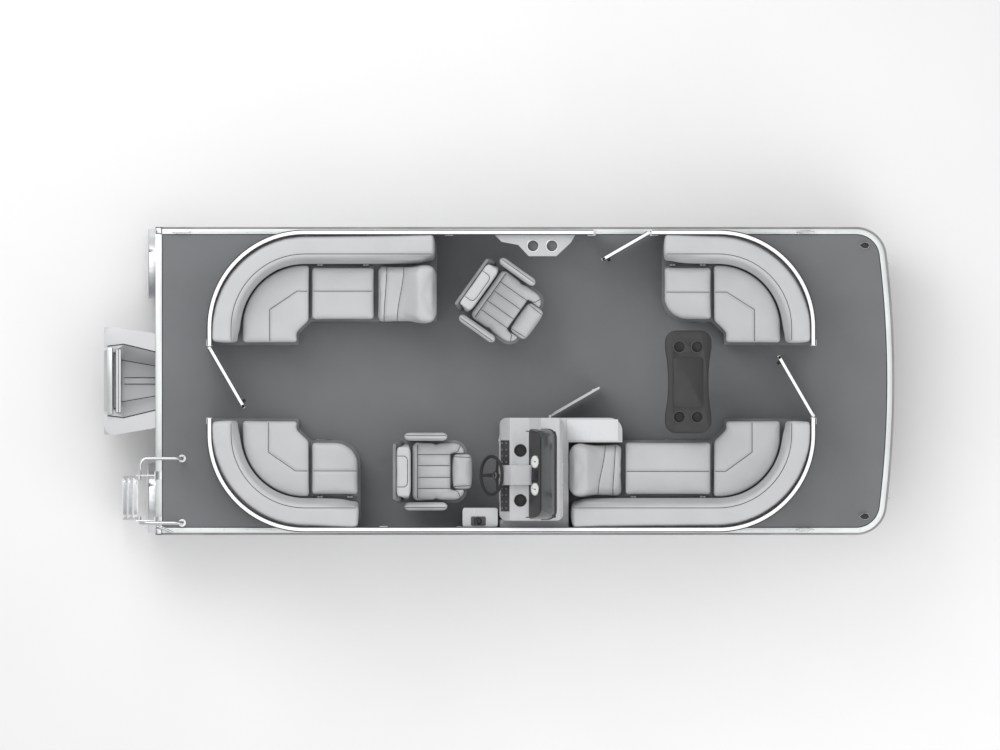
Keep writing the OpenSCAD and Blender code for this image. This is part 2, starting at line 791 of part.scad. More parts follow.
// The two plates and pins that carry a gate, at the end of a fence. The gate's axis is the
// origin, and the fence's end post stands on the +x side.
module gate_brackets() {
    for (z = [gate_z - seat_clear - bracket_t, gate_top + seat_clear]) translate([0, 0, z]) {
        cylinder(r = stile_r, h = bracket_t);
        translate([0, -stile_r, 0]) cube([hinge_inset + 4, 2 * stile_r, bracket_t]);
    }
    translate([0, 0, gate_z - seat_clear - 1]) cylinder(r = pin_r, h = pin_depth);
    translate([0, 0, gate_top + seat_clear + 1 - pin_depth]) cylinder(r = pin_r, h = pin_depth);
}

// A gate, closed along -x from its axis at the origin
module gate(length) {
    difference() {
        union() {
            translate([0, 0, gate_z]) cylinder(r = stile_r, h = gate_top - gate_z);
            for (z = [gate_z, gate_top - 34])
                block([-length, -gate_t / 2, z], [0, gate_t / 2, z + 30]);
            block([-length, -gate_t / 2, gate_z], [30 - length, gate_t / 2, gate_top - 4]);
            block([-length + 2, -gate_t / 2, gate_z + 2], [0, sheet_t - gate_t / 2, gate_top - 6]);
        }
        for (z = [gate_z - 1, gate_top + 1 - pin_depth - 2])
            translate([0, 0, z]) cylinder(r = pin_r + pin_clear, h = pin_depth + 2);
    }
}

module port_aft_fence() color("white") at_corner(-1, 1) {
    fence(side_gateway_x - stern_fence_x, port_end_l);
    translate([0, port_end_l + hinge_inset, 0]) rotate(-90) gate_brackets();
}

module starboard_aft_fence() color("white") at_corner(-1, -1)
    fence(seam_x - stern_fence_x - seam_gap / 2, starboard_end_l);

module port_bow_fence() color("white") at_corner(1, 1) {
    side_l = bow_fence_x - side_gateway_x - side_gateway_w;
    fence(side_l, port_end_l);
    translate([side_l + hinge_inset, 0, 0]) rotate(180) gate_brackets();
}

module starboard_bow_fence() color("white") at_corner(1, -1) {
    fence(bow_fence_x - seam_x - seam_gap / 2, starboard_end_l);
    translate([0, starboard_end_l + hinge_inset, 0]) rotate(-90) gate_brackets();
}

module stern_gate() color("white") translate([stern_fence_x, stern_axis_y, 0])
    rotate(90 + gate_rest) gate(gate_l);

module bow_gate() color("white") translate([bow_fence_x, bow_axis_y, 0])
    rotate(-90 + gate_rest) gate(gate_l);

module side_gate() color("white") translate([side_axis_x, fence_y, 0])
    rotate(gate_rest) gate(side_gate_l);

// ---------------------------------------------------------------- lounges

// A seat's outline: the side leg, the end leg and the cut across the inner corner. inset
// draws it in from the fence and from the front.
module seat_plan(side_l, end_l, inset, free_r) difference() {
    reach = seat_reach - inset;
    rear = back_rear + max(inset, 0);
    cut = corner_cut + inset * 0.4;
    union() {
        translate([rear, rear]) square([side_l - inset - rear, reach - rear]);
        translate([rear, rear]) square([reach - rear, end_l - lounge_end_gap - inset - rear]);
        polygon([
            [reach - 1, reach - 1], [reach + cut, reach - 1], [reach + cut, reach],
            [reach, reach + cut], [reach - 1, reach + cut],
        ]);
    }
    fence_corner_cut(rear);
    if (free_r > 0) translate([side_l - inset, reach]) rotate(180) difference() {
        translate([-1, -1]) square(free_r + 1);
        translate([free_r, free_r]) circle(free_r);
    }
}

// A base: a box with a storage bin under its lid, and the rods of the lid's hinges
module lounge_base(side_l, end_l, lid_end, free_r) {
    round_cut = free_r * 0.35;
    difference() {
        translate([0, 0, deck_z]) linear_extrude(base_h)
            seat_plan(side_l, end_l, -base_lip, free_r);
        block([lid_start + base_wall, back_foot + base_wall, deck_z + base_wall],
              [lid_end - max(base_wall, round_cut), seat_reach - base_wall - round_cut, deck_z + base_h + 1]);
    }
    for (x = [lid_start + hinge_from_end, lid_end - hinge_from_end]) {
        block([x - 3, hinge_u - 7, deck_z + base_h - 10], [x + 3, hinge_u + 7, hinge_z]);
        rod = 3 + seat_clear + sleeve_l;
        bar([x - rod, hinge_u, hinge_z], [x + rod, hinge_u, hinge_z], lid_rod_r);
    }
}

// A lid board on its base, with the straps and sleeves that ride the base's rods
module lounge_lid(lid_end, free_r) {
    board_z0 = deck_z + base_h + seat_clear;
    translate([0, 0, board_z0]) linear_extrude(lid_t) intersection() {
        seat_plan(lid_end, starboard_end_l, base_wall / 2, free_r);
        translate([lid_start + 4, hinge_u + sleeve_r]) square([lid_end - lid_start - 8, seat_reach]);
    }
    for (x = [lid_start + hinge_from_end, lid_end - hinge_from_end], s = [-1, 1]) {
        near = x + s * (3 + seat_clear);
        lo = min(near, near + s * sleeve_l);
        block([lo, hinge_u + lid_rod_r, board_z0], [lo + sleeve_l, hinge_u + sleeve_r + 2, hinge_z]);
        difference() {
            translate([lo, hinge_u, hinge_z]) rotate([0, 90, 0]) cylinder(r = sleeve_r, h = sleeve_l);
            translate([lo - 1, hinge_u, hinge_z]) rotate([0, 90, 0])
                cylinder(r = lid_rod_r + pin_clear, h = sleeve_l + 2);
        }
    }
}

// The cushion on a lid
module lounge_seat(lid_end, free_r) {
    z = deck_z + base_h + lid_t + 2 * seat_clear;
    translate([0, 0, z]) linear_extrude(deck_z + seat_h - z) intersection() {
        seat_plan(lid_end, starboard_end_l, 0, free_r);
        translate([lid_start + cushion_gap / 2, cushion_rear])
            square([lid_end - lid_start - cushion_gap, seat_reach]);
    }
}

// The fixed cushion round the corner
module lounge_corner(end_l) {
    z = deck_z + base_h + seat_clear;
    translate([0, 0, z]) linear_extrude(deck_z + seat_h - z) difference() {
        intersection() {
            seat_plan(lid_start + 100, end_l, 0, 0);
            translate([back_foot + 8, back_foot + 8]) square(2 * seat_reach);
            translate([-1, -1]) square([lid_start - cushion_gap / 2 + 1, end_l]);
        }
        translate([-1, -1]) fence_corner_cut(back_foot + 8);
    }
}

module back_profile() {
    foot = deck_z + base_h + seat_clear;
    polygon([
        [back_rear, foot], [back_foot, foot], [back_foot, deck_z + seat_h],
        [back_rear + back_t, deck_z + back_h - 25], [back_rear + back_t - 25, deck_z + back_h],
        [back_rear, deck_z + back_h],
    ]);
}

module lounge_back(side_l, end_l) corner_run(side_l, end_l - lounge_end_gap) back_profile();

// A chaise: a wedge cushion that faces along the side, its headrest at the lounge's end
module chaise(from, to, reach) {
    z = deck_z + base_h + seat_clear;
    l = to - from;
    translate([from + cushion_gap / 2, reach, 0]) rotate([90, 0, 0])
        linear_extrude(reach - back_foot - 8) polygon([
            [0, z], [0, deck_z + seat_h], [l * 0.42, deck_z + seat_h + 90], [l * 0.72, deck_z + chaise_h],
            [l - cushion_gap, deck_z + chaise_h], [l - cushion_gap, z],
        ]);
}

module port_aft_base() color("dimgray") at_corner(-1, 1)
    lounge_base(port_aft_l, port_end_l, port_aft_l - port_chaise_l, 0);

module port_aft_lid() color("dimgray") at_corner(-1, 1) lounge_lid(port_aft_l - port_chaise_l, 0);

module port_aft_seat() color("gainsboro") at_corner(-1, 1) lounge_seat(port_aft_l - port_chaise_l, 0);

module port_aft_corner() color("gainsboro") at_corner(-1, 1) lounge_corner(port_end_l);

module port_aft_back() color("gainsboro") at_corner(-1, 1) lounge_back(port_aft_l, port_end_l);

module port_aft_chaise() color("gainsboro") at_corner(-1, 1)
    chaise(port_aft_l - port_chaise_l, port_aft_l, seat_reach + chaise_proud);

module starboard_aft_base() color("dimgray") at_corner(-1, -1)
    lounge_base(starboard_aft_l, starboard_end_l, starboard_aft_l, free_corner_r);

module starboard_aft_lid() color("dimgray") at_corner(-1, -1) lounge_lid(starboard_aft_l, free_corner_r);

module starboard_aft_seat() color("gainsboro") at_corner(-1, -1)
    lounge_seat(starboard_aft_l, free_corner_r);

module starboard_aft_corner() color("gainsboro") at_corner(-1, -1) lounge_corner(starboard_end_l);

module starboard_aft_back() color("gainsboro") at_corner(-1, -1)
    lounge_back(starboard_aft_l, starboard_end_l);

module port_bow_base() color("dimgray") at_corner(1, 1)
    lounge_base(port_bow_l, port_end_l, port_bow_l, free_corner_r);

module port_bow_lid() color("dimgray") at_corner(1, 1) lounge_lid(port_bow_l, free_corner_r);

module port_bow_seat() color("gainsboro") at_corner(1, 1) lounge_seat(port_bow_l, free_corner_r);

module port_bow_corner() color("gainsboro") at_corner(1, 1) lounge_corner(port_end_l);

module port_bow_back() color("gainsboro") at_corner(1, 1) lounge_back(port_bow_l, port_end_l);

module starboard_bow_base() color("dimgray") at_corner(1, -1) difference() {
    lounge_base(starboard_bow_l, starboard_end_l, starboard_bow_l - starboard_chaise_l, 0);
    // The locker stands in front of the chaise
    block([bow_fence_x - locker_x - 2, locker_reach, deck_z - 1],
          [starboard_bow_l + seat_reach, 2 * seat_reach, deck_z + base_h + 1]);
}

module starboard_bow_lid() color("dimgray") at_corner(1, -1)
    lounge_lid(starboard_bow_l - starboard_chaise_l, 0);

module starboard_bow_seat() color("gainsboro") at_corner(1, -1)
    lounge_seat(starboard_bow_l - starboard_chaise_l, 0);

module starboard_bow_corner() color("gainsboro") at_corner(1, -1) lounge_corner(starboard_end_l);

module starboard_bow_back() color("gainsboro") at_corner(1, -1)
    lounge_back(starboard_bow_l, starboard_end_l);

module starboard_bow_chaise() color("gainsboro") at_corner(1, -1)
    chaise(starboard_bow_l - starboard_chaise_l, starboard_bow_l, locker_reach - 2);

// ---------------------------------------------------------------- helm

// Outline of the helm part of the console, drawn in from its faces
module helm_plan(inset) translate([console_x + inset, -console_starboard_y + inset])
    round_plan([console_l - 2 * inset, console_starboard_y - console_port_y - 2 * inset], console_r);

// Outline of the locker in front of the helm
module locker_plan(inset) difference() {
    translate([console_fore_x - 90, inset - console_port_y - locker_w])
        square([locker_x - console_fore_x + 90 - inset, locker_w - 2 * inset]);
    translate([locker_x - inset, -console_port_y - inset]) rotate(180) difference() {
        translate([-1, -1]) square(locker_r + 1);
        translate([locker_r, locker_r]) circle(locker_r);
    }
}

module helm_console() color("gainsboro") {
    knuckle_z = deck_z + door_bottom - seat_clear;
    knuckle_top = deck_z + door_bottom + door_h + seat_clear;
    difference() {
        union() {
            translate([0, 0, deck_z]) linear_extrude(dash_z) helm_plan(0);
            translate([0, 0, deck_z]) linear_extrude(locker_h) locker_plan(0);
            // Ledges beside the helm and behind it, out to the fence and the chaise
            block([console_x + ledge_gap, back_rear - fence_y, deck_z],
                  [console_fore_x, 10 - console_starboard_y, deck_z + locker_h]);
            block([console_fore_x - 90, back_rear - fence_y, deck_z],
                  [ledge_x, 10 - console_port_y - locker_w, deck_z + locker_h]);
        }
        translate([0, 0, deck_z + console_wall]) {
            linear_extrude(dash_z - 2 * console_wall) helm_plan(console_wall);
            linear_extrude(locker_h - 2 * console_wall) locker_plan(console_wall);
        }
        // Doorway in the port face
        block([door_x + 36, -console_port_y - console_wall - 1, deck_z + door_bottom + 20],
              [door_x + door_l - 22, 1 - console_port_y, deck_z + door_bottom + door_h - 20]);
    }
    // Hinge brackets with their pins, top and bottom
    for (z = [knuckle_z - bracket_t, knuckle_top])
        block([door_x - 9, -console_port_y - 2, z], [door_x + 9, door_axis_y + 9, z + bracket_t]);
    for (z = [knuckle_z - 1, knuckle_top + 1 - pin_depth])
        translate([door_x, door_axis_y, z]) cylinder(r = pin_r, h = pin_depth);
}

// The console door, on its axis at the rear edge
module console_door() color("gainsboro") translate([door_x, door_axis_y, deck_z + door_bottom])
    rotate(gate_rest) difference() {
        union() {
            cylinder(r = 9, h = door_h);
            block([0, -9, 0], [door_l, door_t - 9, door_h]);
        }
        for (z = [-1, door_h - pin_depth - 1])
            translate([0, 0, z]) cylinder(r = pin_r + pin_clear, h = pin_depth + 2);
    }

// Side view of the dash: x from the console's aft face, and height above the deck
module dash_profile() polygon([
    [0, dash_z + seat_clear], [0, console_aft_top - 20], [12, console_aft_top], [88, shelf_h],
    [249, shelf_h], [350, pod_top_h], [console_l - 32, pod_top_h], [console_l, pod_top_h - 40],
    [console_l, dash_z + seat_clear],
]);

module at_wheel()
    translate([wheel_x, -helm_y, deck_z + wheel_h]) rotate([0, wheel_tilt - 90, 0]) children();

module helm_dash() color("gainsboro") {
    difference() {
        union() {
            intersection() {
                translate([console_x, 0, deck_z]) rotate([90, 0, 0])
                    linear_extrude(console_starboard_y + 10) dash_profile();
                linear_extrude(2 * deck_z + 2 * fence_h) helm_plan(0);
            }
            // Boss that carries the steering shaft
            at_wheel() translate([0, 0, -shaft_l - 60]) cylinder(r = 45, h = 110);
        }
        at_wheel() translate([0, 0, -shaft_l - 40]) cylinder(r = shaft_r + pin_clear, h = 200);
        for (y = [cup_inner_y, cup_outer_y]) translate([cup_x, y, deck_z + shelf_h - cup_depth])
            cylinder(r = cup_r, h = cup_depth + 1);
    }
}

module steering_wheel() color("dimgray") at_wheel() {
    hub_top = -34;
    rotate_extrude(convexity = 4, $fn = 96)
        translate([wheel_d / 2 - wheel_rim_r, 0]) circle(wheel_rim_r, $fn = 32);
    translate([0, 0, hub_top - 22]) cylinder(r = 38, h = 24);
    translate([0, 0, -shaft_l - 30]) cylinder(r = shaft_r, h = shaft_l + 30 + hub_top);
    for (a = [60, 180, 300]) rotate(a) bar([20, 0, hub_top - 8], [wheel_d / 2 - wheel_rim_r, 0, 0], 9);
}

module windscreen() color("slategray") {
    base_z = deck_z + pod_top_h + seat_clear;
    top_z = deck_z + screen_h;
    fore = console_fore_x - 57;
    screen_w = console_starboard_y - console_port_y - 105;
    difference() {
        hull() {
            screen_layer(fore, base_z, 0, screen_w);
            screen_layer(fore - 125, top_z - 1, 0, screen_w - 30);
        }
        hull() {
            screen_layer(fore, base_z - 1, screen_t, screen_w);
            screen_layer(fore - 125, top_z + 1, screen_t, screen_w - 30);
        }
    }
}

// A thin layer of the windscreen's outline, open at its aft side
module screen_layer(fore, z, inset, w) {
    r = 70;
    y = 10 - helm_y;
    translate([fore - r, y - w / 2 + r, z]) cylinder(r = r - inset, h = 1);
    translate([fore - r, y + w / 2 - r, z]) cylinder(r = r - inset, h = 1);
    block([fore - 130 - (inset > 0 ? 60 : 0), y - w / 2 + inset, z], [fore - r, y + w / 2 - inset, z + 1]);
}

module throttle_box() color("gainsboro") {
    box_y = back_rear - fence_y;
    lever_y = box_y + 58;
    lever_x = throttle_x + 130;
    top = deck_z + throttle_h;
    soft_block([throttle_x, box_y, deck_z], [console_x - 12, box_y + throttle_w, top], 24);
    block([throttle_x + 70, box_y + 20, top], [throttle_x + 196, lever_y + 38, top + 10]);
    bar([lever_x, lever_y, top], [lever_x - 20, lever_y, top + lever_l], 9);
    bar([lever_x - 20, lever_y - 28, top + lever_l], [lever_x - 20, lever_y + 32, top + lever_l], 16);
}

// ---------------------------------------------------------------- chairs

// The flange and column that a chair turns on, with its spigot
module pedestal() translate([0, 0, deck_z]) {
    cylinder(r = 160, h = 14);
    cylinder(r = 36, h = hub_h - hub_seat);
    cylinder(r = spigot_r, h = hub_h + 20);
}

// The dark shell that holds a chair's cushions, with its hub on the swivel's axis
module chair_frame() {
    hub_z = deck_z + hub_h - hub_seat + seat_clear;
    pan_z = deck_z + chair_seat_h - pan_drop;
    half = chair_w / 2 + 10;
    back_x = chair_back_x;
    back_top = deck_z + chair_back_h;
    difference() {
        union() {
            translate([0, 0, hub_z]) cylinder(r = 60, h = pan_z - hub_z + 5);
            soft_block([back_x + 60, -half, pan_z], [60, half, pan_z + pan_t], 60);
            soft_block([0, -half, pan_z], [chair_reach - seat_front + 10, half, pan_z + pan_t],
                       shoulder_r + 10);
        }
        translate([0, 0, hub_z - 1]) cylinder(r = spigot_r + pin_clear, h = hub_seat + 30);
    }
    // Back shell
    hull() {
        soft_block([back_x + 30, -half, pan_z + 2], [back_x + 90, half, pan_z + pan_t], 24);
        soft_block([back_x, 30 - half, back_top - 60], [back_x + 24, half - 30, back_top - 40], 10);
    }
    // Arm brackets
    for (s = [-1, 1]) {
        near = s * (half - 20);
        far = s * (chair_arm_w / 2 - 8);
        block([-150, min(near, far), pan_z + 4], [90, max(near, far), pan_z + 30]);
    }
}

module chair_cushions() {
    pan_top = deck_z + chair_seat_h - pan_drop + pan_t + seat_clear;
    seat_top = deck_z + chair_seat_h;
    back_top = deck_z + chair_back_h;
    half = chair_w / 2;
    back_x = chair_back_x;
    // Seat, with round shoulders on both sides of the bolster
    difference() {
        union() {
            soft_block([back_x + 150, -half, pan_top], [60, half, seat_top], 50);
            soft_block([0, -half, pan_top], [chair_reach - seat_front, half, seat_top], shoulder_r);
        }
        block([chair_reach - bolster_l - bolster_gap, -bolster_w / 2 - bolster_gap, pan_top - 1],
              [chair_reach, bolster_w / 2 + bolster_gap, seat_top + 1]);
    }
    // Bolster at the seat's front
    soft_block([chair_reach - bolster_l, -bolster_w / 2, pan_top],
               [chair_reach, bolster_w / 2, seat_top + 6], 30);
    // Back, with its headrest
    hull() {
        soft_block([back_x + 89.4, 6 - half, pan_top + 12], [back_x + 140, half - 6, pan_top + 20], 20);
        soft_block([back_x + 30, 36 - half, back_top - 20], [back_x + 145, half - 36, back_top], 20);
    }
    // Arms
    for (s = [-1, 1]) {
        near = s * (half + arm_gap);
        far = s * chair_arm_w / 2;
        soft_block([-230, min(near, far), pan_top - 10], [160, max(near, far), seat_top + 190], 26);
    }
}

module at_helm_chair() translate([helm_chair_x, -helm_chair_y, 0]) children();

module at_mate_chair() translate([mate_chair_x, mate_chair_y, 0]) rotate(-mate_chair_turn) children();

module helm_pedestal() color("dimgray") at_helm_chair() pedestal();

module helm_chair_frame() color("dimgray") at_helm_chair() chair_frame();

module helm_chair_cushions() color("gainsboro") at_helm_chair() chair_cushions();

module mate_pedestal() color("dimgray") at_mate_chair() pedestal();

module mate_chair_frame() color("dimgray") at_mate_chair() chair_frame();

module mate_chair_cushions() color("gainsboro") at_mate_chair() chair_cushions();

// ---------------------------------------------------------------- tables

module cup(x, y, top) translate([x, y, top - cup_depth]) cylinder(r = cup_r + 4, h = cup_depth - 1);

module cup_bore(x, y, top) translate([x, y, top - cup_depth + 4]) cylinder(r = cup_r, h = cup_depth);

module side_table() color("gainsboro") {
    top = deck_z + side_table_h;
    rear = fence_y - rail_w / 2 - 2;
    front = rear - side_table_w;
    cups = [side_table_x + side_cup_x, side_table_x + side_cup_x + side_cup_step];
    end_x = side_table_x + side_table_l;
    difference() {
        union() {
            translate([0, 0, top - table_t]) linear_extrude(table_t) polygon([
                [side_table_x, rear], [side_table_x + 60, rear - 62], [side_table_x + 200, rear - 88],
                [side_table_x + 290, front], [end_x - 161, front], [end_x - 40, rear - 70], [end_x, rear],
            ]);
            for (x = cups) cup(x, rear - side_cup_y, top);
            // Leg and its foot
            translate([side_table_x + side_leg_x, rear - 90, deck_z]) {
                cylinder(r = 24, h = side_table_h - 5);
                cylinder(r = 60, h = 10);
            }
        }
        for (x = cups) cup_bore(x, rear - side_cup_y, top);
    }
}

module table_plan(inset) {
    hw = table_w / 2 - inset;
    hl = table_l / 2 - inset;
    difference() {
        translate([-hw, -hl]) round_plan([2 * hw, 2 * hl], 90);
        for (s = [-1, 1]) translate([s * (hw - table_waist + 1500), 0]) circle(1500, $fn = 256);
    }
}

module cocktail_table() color([0.25, 0.24, 0.25]) translate([table_x, table_y, 0]) {
    top = deck_z + table_h;
    difference() {
        union() {
            translate([0, 0, top - table_t]) linear_extrude(table_t) table_plan(0);
            for (x = [-cup_step / 2, cup_step / 2], y = [-cup_reach, cup_reach]) cup(x, y, top);
        }
        for (x = [-cup_step / 2, cup_step / 2], y = [-cup_reach, cup_reach]) cup_bore(x, y, top);
    }
}

module table_pedestal() color("silver") translate([table_x, table_y, deck_z]) {
    cylinder(r = 150, h = 12);
    cylinder(r = 30, h = table_h - table_t - seat_clear);
    translate([0, 0, table_h - table_t - 14]) cylinder(r = 90, h = 14 - seat_clear);
}

// ---------------------------------------------------------------- the nodes

afloat() port_pontoon();
afloat() starboard_pontoon();
afloat() crossmembers();
afloat() deck();
afloat() deck_trim();
afloat() motor_pod();
afloat() motor_transom();
afloat() cleats();
afloat() nav_lights();
afloat() ladder_handrails();
afloat() boarding_ladder();
afloat() port_aft_fence();
afloat() port_bow_fence();
afloat() starboard_aft_fence();
afloat() starboard_bow_fence();
afloat() stern_gate();
afloat() bow_gate();
afloat() side_gate();
afloat() port_aft_base();
afloat() port_aft_lid();
afloat() port_aft_seat();
afloat() port_aft_corner();
afloat() port_aft_back();
afloat() port_aft_chaise();
afloat() starboard_aft_base();
afloat() starboard_aft_lid();
afloat() starboard_aft_seat();
afloat() starboard_aft_corner();
afloat() starboard_aft_back();
afloat() port_bow_base();
afloat() port_bow_lid();
afloat() port_bow_seat();
afloat() port_bow_corner();
afloat() port_bow_back();
afloat() starboard_bow_base();
afloat() starboard_bow_lid();
afloat() starboard_bow_seat();
afloat() starboard_bow_corner();
afloat() starboard_bow_back();
afloat() starboard_bow_chaise();
afloat() helm_console();
afloat() helm_dash();
afloat() console_door();
afloat() windscreen();
afloat() steering_wheel();
afloat() throttle_box();
afloat() helm_pedestal();
afloat() helm_chair_frame();
afloat() helm_chair_cushions();
afloat() mate_pedestal();
afloat() mate_chair_frame();
afloat() mate_chair_cushions();
afloat() side_table();
afloat() cocktail_table();
afloat() table_pedestal();
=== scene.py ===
"""Looks of the pontoon boat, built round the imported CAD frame. Metres, +X bow, +Y port, +Z up."""
import json
import math

import bmesh
import bpy
import numpy as np
from mathutils import Matrix, Vector
from mathutils.bvhtree import BVHTree

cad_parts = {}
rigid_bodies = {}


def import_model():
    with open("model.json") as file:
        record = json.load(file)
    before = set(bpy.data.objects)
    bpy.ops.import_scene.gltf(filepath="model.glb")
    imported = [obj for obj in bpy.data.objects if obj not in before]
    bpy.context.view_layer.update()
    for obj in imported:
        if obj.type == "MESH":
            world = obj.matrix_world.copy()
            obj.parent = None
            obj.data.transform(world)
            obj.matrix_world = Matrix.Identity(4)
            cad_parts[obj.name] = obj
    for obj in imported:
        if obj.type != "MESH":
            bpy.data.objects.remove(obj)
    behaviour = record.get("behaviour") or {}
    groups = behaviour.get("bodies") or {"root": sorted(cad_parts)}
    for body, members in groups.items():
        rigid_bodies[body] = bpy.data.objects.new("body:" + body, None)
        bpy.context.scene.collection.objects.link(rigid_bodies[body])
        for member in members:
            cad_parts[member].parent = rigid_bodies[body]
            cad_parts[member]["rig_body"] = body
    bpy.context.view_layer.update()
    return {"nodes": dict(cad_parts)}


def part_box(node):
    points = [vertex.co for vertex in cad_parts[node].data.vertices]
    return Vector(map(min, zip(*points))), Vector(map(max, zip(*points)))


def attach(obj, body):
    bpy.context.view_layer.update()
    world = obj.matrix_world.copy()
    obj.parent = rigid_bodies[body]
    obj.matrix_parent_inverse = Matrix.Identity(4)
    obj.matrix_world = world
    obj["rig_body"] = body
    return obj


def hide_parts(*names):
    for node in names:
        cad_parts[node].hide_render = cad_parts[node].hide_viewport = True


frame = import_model()
NODES = frame["nodes"]

# ---------------------------------------------------------------- places, all from the frame

HULL = "hull"
DECK_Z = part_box("deck")[1].z
TRIM_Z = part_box("deck_trim")[1].z
RAIL = 0.032
FENCE_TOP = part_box("port_aft_fence")[1].z
FENCE_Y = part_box("port_aft_fence")[1].y - RAIL / 2
STERN_FENCE_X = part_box("port_aft_fence")[0].x + RAIL / 2
BOW_FENCE_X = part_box("port_bow_fence")[1].x - RAIL / 2
FENCE_R = 0.8
STERN_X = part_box("deck_trim")[0].x
HALF_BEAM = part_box("deck_trim")[1].y
TUBE_R = (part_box("port_pontoon")[1].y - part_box("port_pontoon")[0].y) / 2
TUBE_Z = 0.012 + TUBE_R
CROSS_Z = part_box("crossmembers")[0].z

# The photograph's straight-down view: its middle, and the width that it shows
VIEW_MIDDLE = (0.0145, 0.05)
VIEW_WIDTH = 8.41


# ---------------------------------------------------------------- camera, light and floor

def camera_and_light():
    scene = bpy.context.scene
    camera = bpy.data.cameras.new("camera")
    camera.type = "ORTHO"
    camera.ortho_scale = VIEW_WIDTH
    camera.clip_end = 200
    eye = bpy.data.objects.new("camera", camera)
    eye.location = (*VIEW_MIDDLE, 12)
    scene.collection.objects.link(eye)
    scene.camera = eye

    world = bpy.data.worlds.new("studio")
    world.use_nodes = True
    world.node_tree.nodes["Background"].inputs["Color"].default_value = (1, 1, 1, 1)
    world.node_tree.nodes["Background"].inputs["Strength"].default_value = 0.66
    scene.world = world

    for name, place, size, energy in (
        ("key", (-4.5, 5.5, 8), 6, 330),
        ("fill", (6, -6, 7), 7, 230),
        ("top", (0, 0, 11), 9, 260),
    ):
        lamp = bpy.data.lights.new(name, "AREA")
        lamp.energy = energy
        lamp.size = size
        light = bpy.data.objects.new(name, lamp)
        light.location = place
        light.rotation_euler = (Vector((0, 0, 0.7)) - Vector(place)).to_track_quat("-Z", "Y").to_euler()
        scene.collection.objects.link(light)
    scene.view_settings.view_transform = "Standard"

    mesh = bpy.data.meshes.new("floor")
    reach = 60
    mesh.from_pydata([(-reach, -reach, 0), (reach, -reach, 0), (reach, reach, 0),
        (-reach, reach, 0)], [], [(0, 1, 2, 3)])
    floor = bpy.data.objects.new("floor", mesh)
    scene.collection.objects.link(floor)
    mesh.materials.append(plain_floor())


# ---------------------------------------------------------------- materials

class Surface:
    """A material with its node tree at hand."""

    def __init__(self, name, colour, roughness, metallic=0.0):
        self.material = bpy.data.materials.new(name)
        self.material.use_nodes = True
        self.tree = self.material.node_tree
        self.bsdf = self.tree.nodes["Principled BSDF"]
        self.colour = colour
        self.set("Base Color", (*colour, 1))
        self.set("Roughness", roughness)
        self.set("Metallic", metallic)
        self.height = None

    def set(self, socket, value):
        self.bsdf.inputs[socket].default_value = value

    def node(self, kind, **values):
        made = self.tree.nodes.new(kind)
        for key, value in values.items():
            setattr(made, key, value)
        return made

    def link(self, a, b):
        self.tree.links.new(a, b)

    def place(self, stretch=(1, 1, 1)):
        """Object coordinates, stretched."""
        where = self.node("ShaderNodeTexCoord")
        mapping = self.node("ShaderNodeMapping")
        mapping.inputs["Scale"].default_value = stretch
        self.link(where.outputs["Object"], mapping.inputs["Vector"])
        return mapping.outputs["Vector"]

    def noise(self, scale, detail=3.0, stretch=(1, 1, 1)):
        made = self.node("ShaderNodeTexNoise")
        made.inputs["Scale"].default_value = scale
        made.inputs["Detail"].default_value = detail
        self.link(self.place(stretch), made.inputs["Vector"])
        return made.outputs["Fac"]

    def cells(self, scale, feature="F1", stretch=(1, 1, 1)):
        made = self.node("ShaderNodeTexVoronoi", feature=feature)
        made.inputs["Scale"].default_value = scale
        self.link(self.place(stretch), made.inputs["Vector"])
        return made.outputs["Distance"]

    def bands(self, scale, direction):
        made = self.node("ShaderNodeTexWave", bands_direction=direction)
        made.inputs["Scale"].default_value = scale
        self.link(self.place(), made.inputs["Vector"])
        return made.outputs["Fac"]

    def ramp(self, value, low, high, start=0.3, end=0.7):
        made = self.node("ShaderNodeMapRange")
        made.inputs["From Min"].default_value = start
        made.inputs["From Max"].default_value = end
        made.inputs["To Min"].default_value = low
        made.inputs["To Max"].default_value = high
        self.link(value, made.inputs["Value"])
        return made.outputs["Result"]

    def tint(self, value, dark, light, start=0.3, end=0.7):
        """Colours the surface between two shares of its own colour, by a texture."""
        made = self.node("ShaderNodeMix", data_type="RGBA")
        made.inputs["A"].default_value = (*[c * dark for c in self.colour], 1)
        made.inputs["B"].default_value = (*[min(1.0, c * light) for c in self.colour], 1)
        self.link(self.ramp(value, 0, 1, start, end), made.inputs["Factor"])
        self.link(made.outputs["Result"], self.bsdf.inputs["Base Color"])
        return made

    def vary_roughness(self, value, low, high):
        self.link(self.ramp(value, low, high), self.bsdf.inputs["Roughness"])

    def bump(self, value, strength, distance):
        made = self.node("ShaderNodeBump")
        made.inputs["Strength"].default_value = strength
        made.inputs["Distance"].default_value = distance
        self.link(value, made.inputs["Height"])
        if self.height:
            self.link(self.height, made.inputs["Normal"])
        self.height = made.outputs["Normal"]
        self.link(self.height, self.bsdf.inputs["Normal"])


def plain_floor():
    made = Surface("floor", (0.9, 0.9, 0.9), 0.85)
    made.tint(made.noise(0.6), 0.985, 1.01)
    return made.material


def seat_vinyl(name, colour):
    """Marine vinyl: fine pebbled grain, faint mottling and soft sheen."""
    made = Surface(name, colour, 0.5)
    made.tint(made.noise(3.5, 4), 0.955, 1.03)
    made.vary_roughness(made.noise(9, 3), 0.42, 0.56)
    made.bump(made.cells(420, "DISTANCE_TO_EDGE"), 0.35, 0.0006)
    made.bump(made.noise(90, 4), 0.12, 0.0009)
    made.bump(made.noise(7, 2), 0.10, 0.006)
    made.set("Sheen Weight", 0.12)
    made.set("Sheen Roughness", 0.45)
    made.set("Coat Weight", 0.05)
    made.set("Coat Roughness", 0.35)
    return made.material


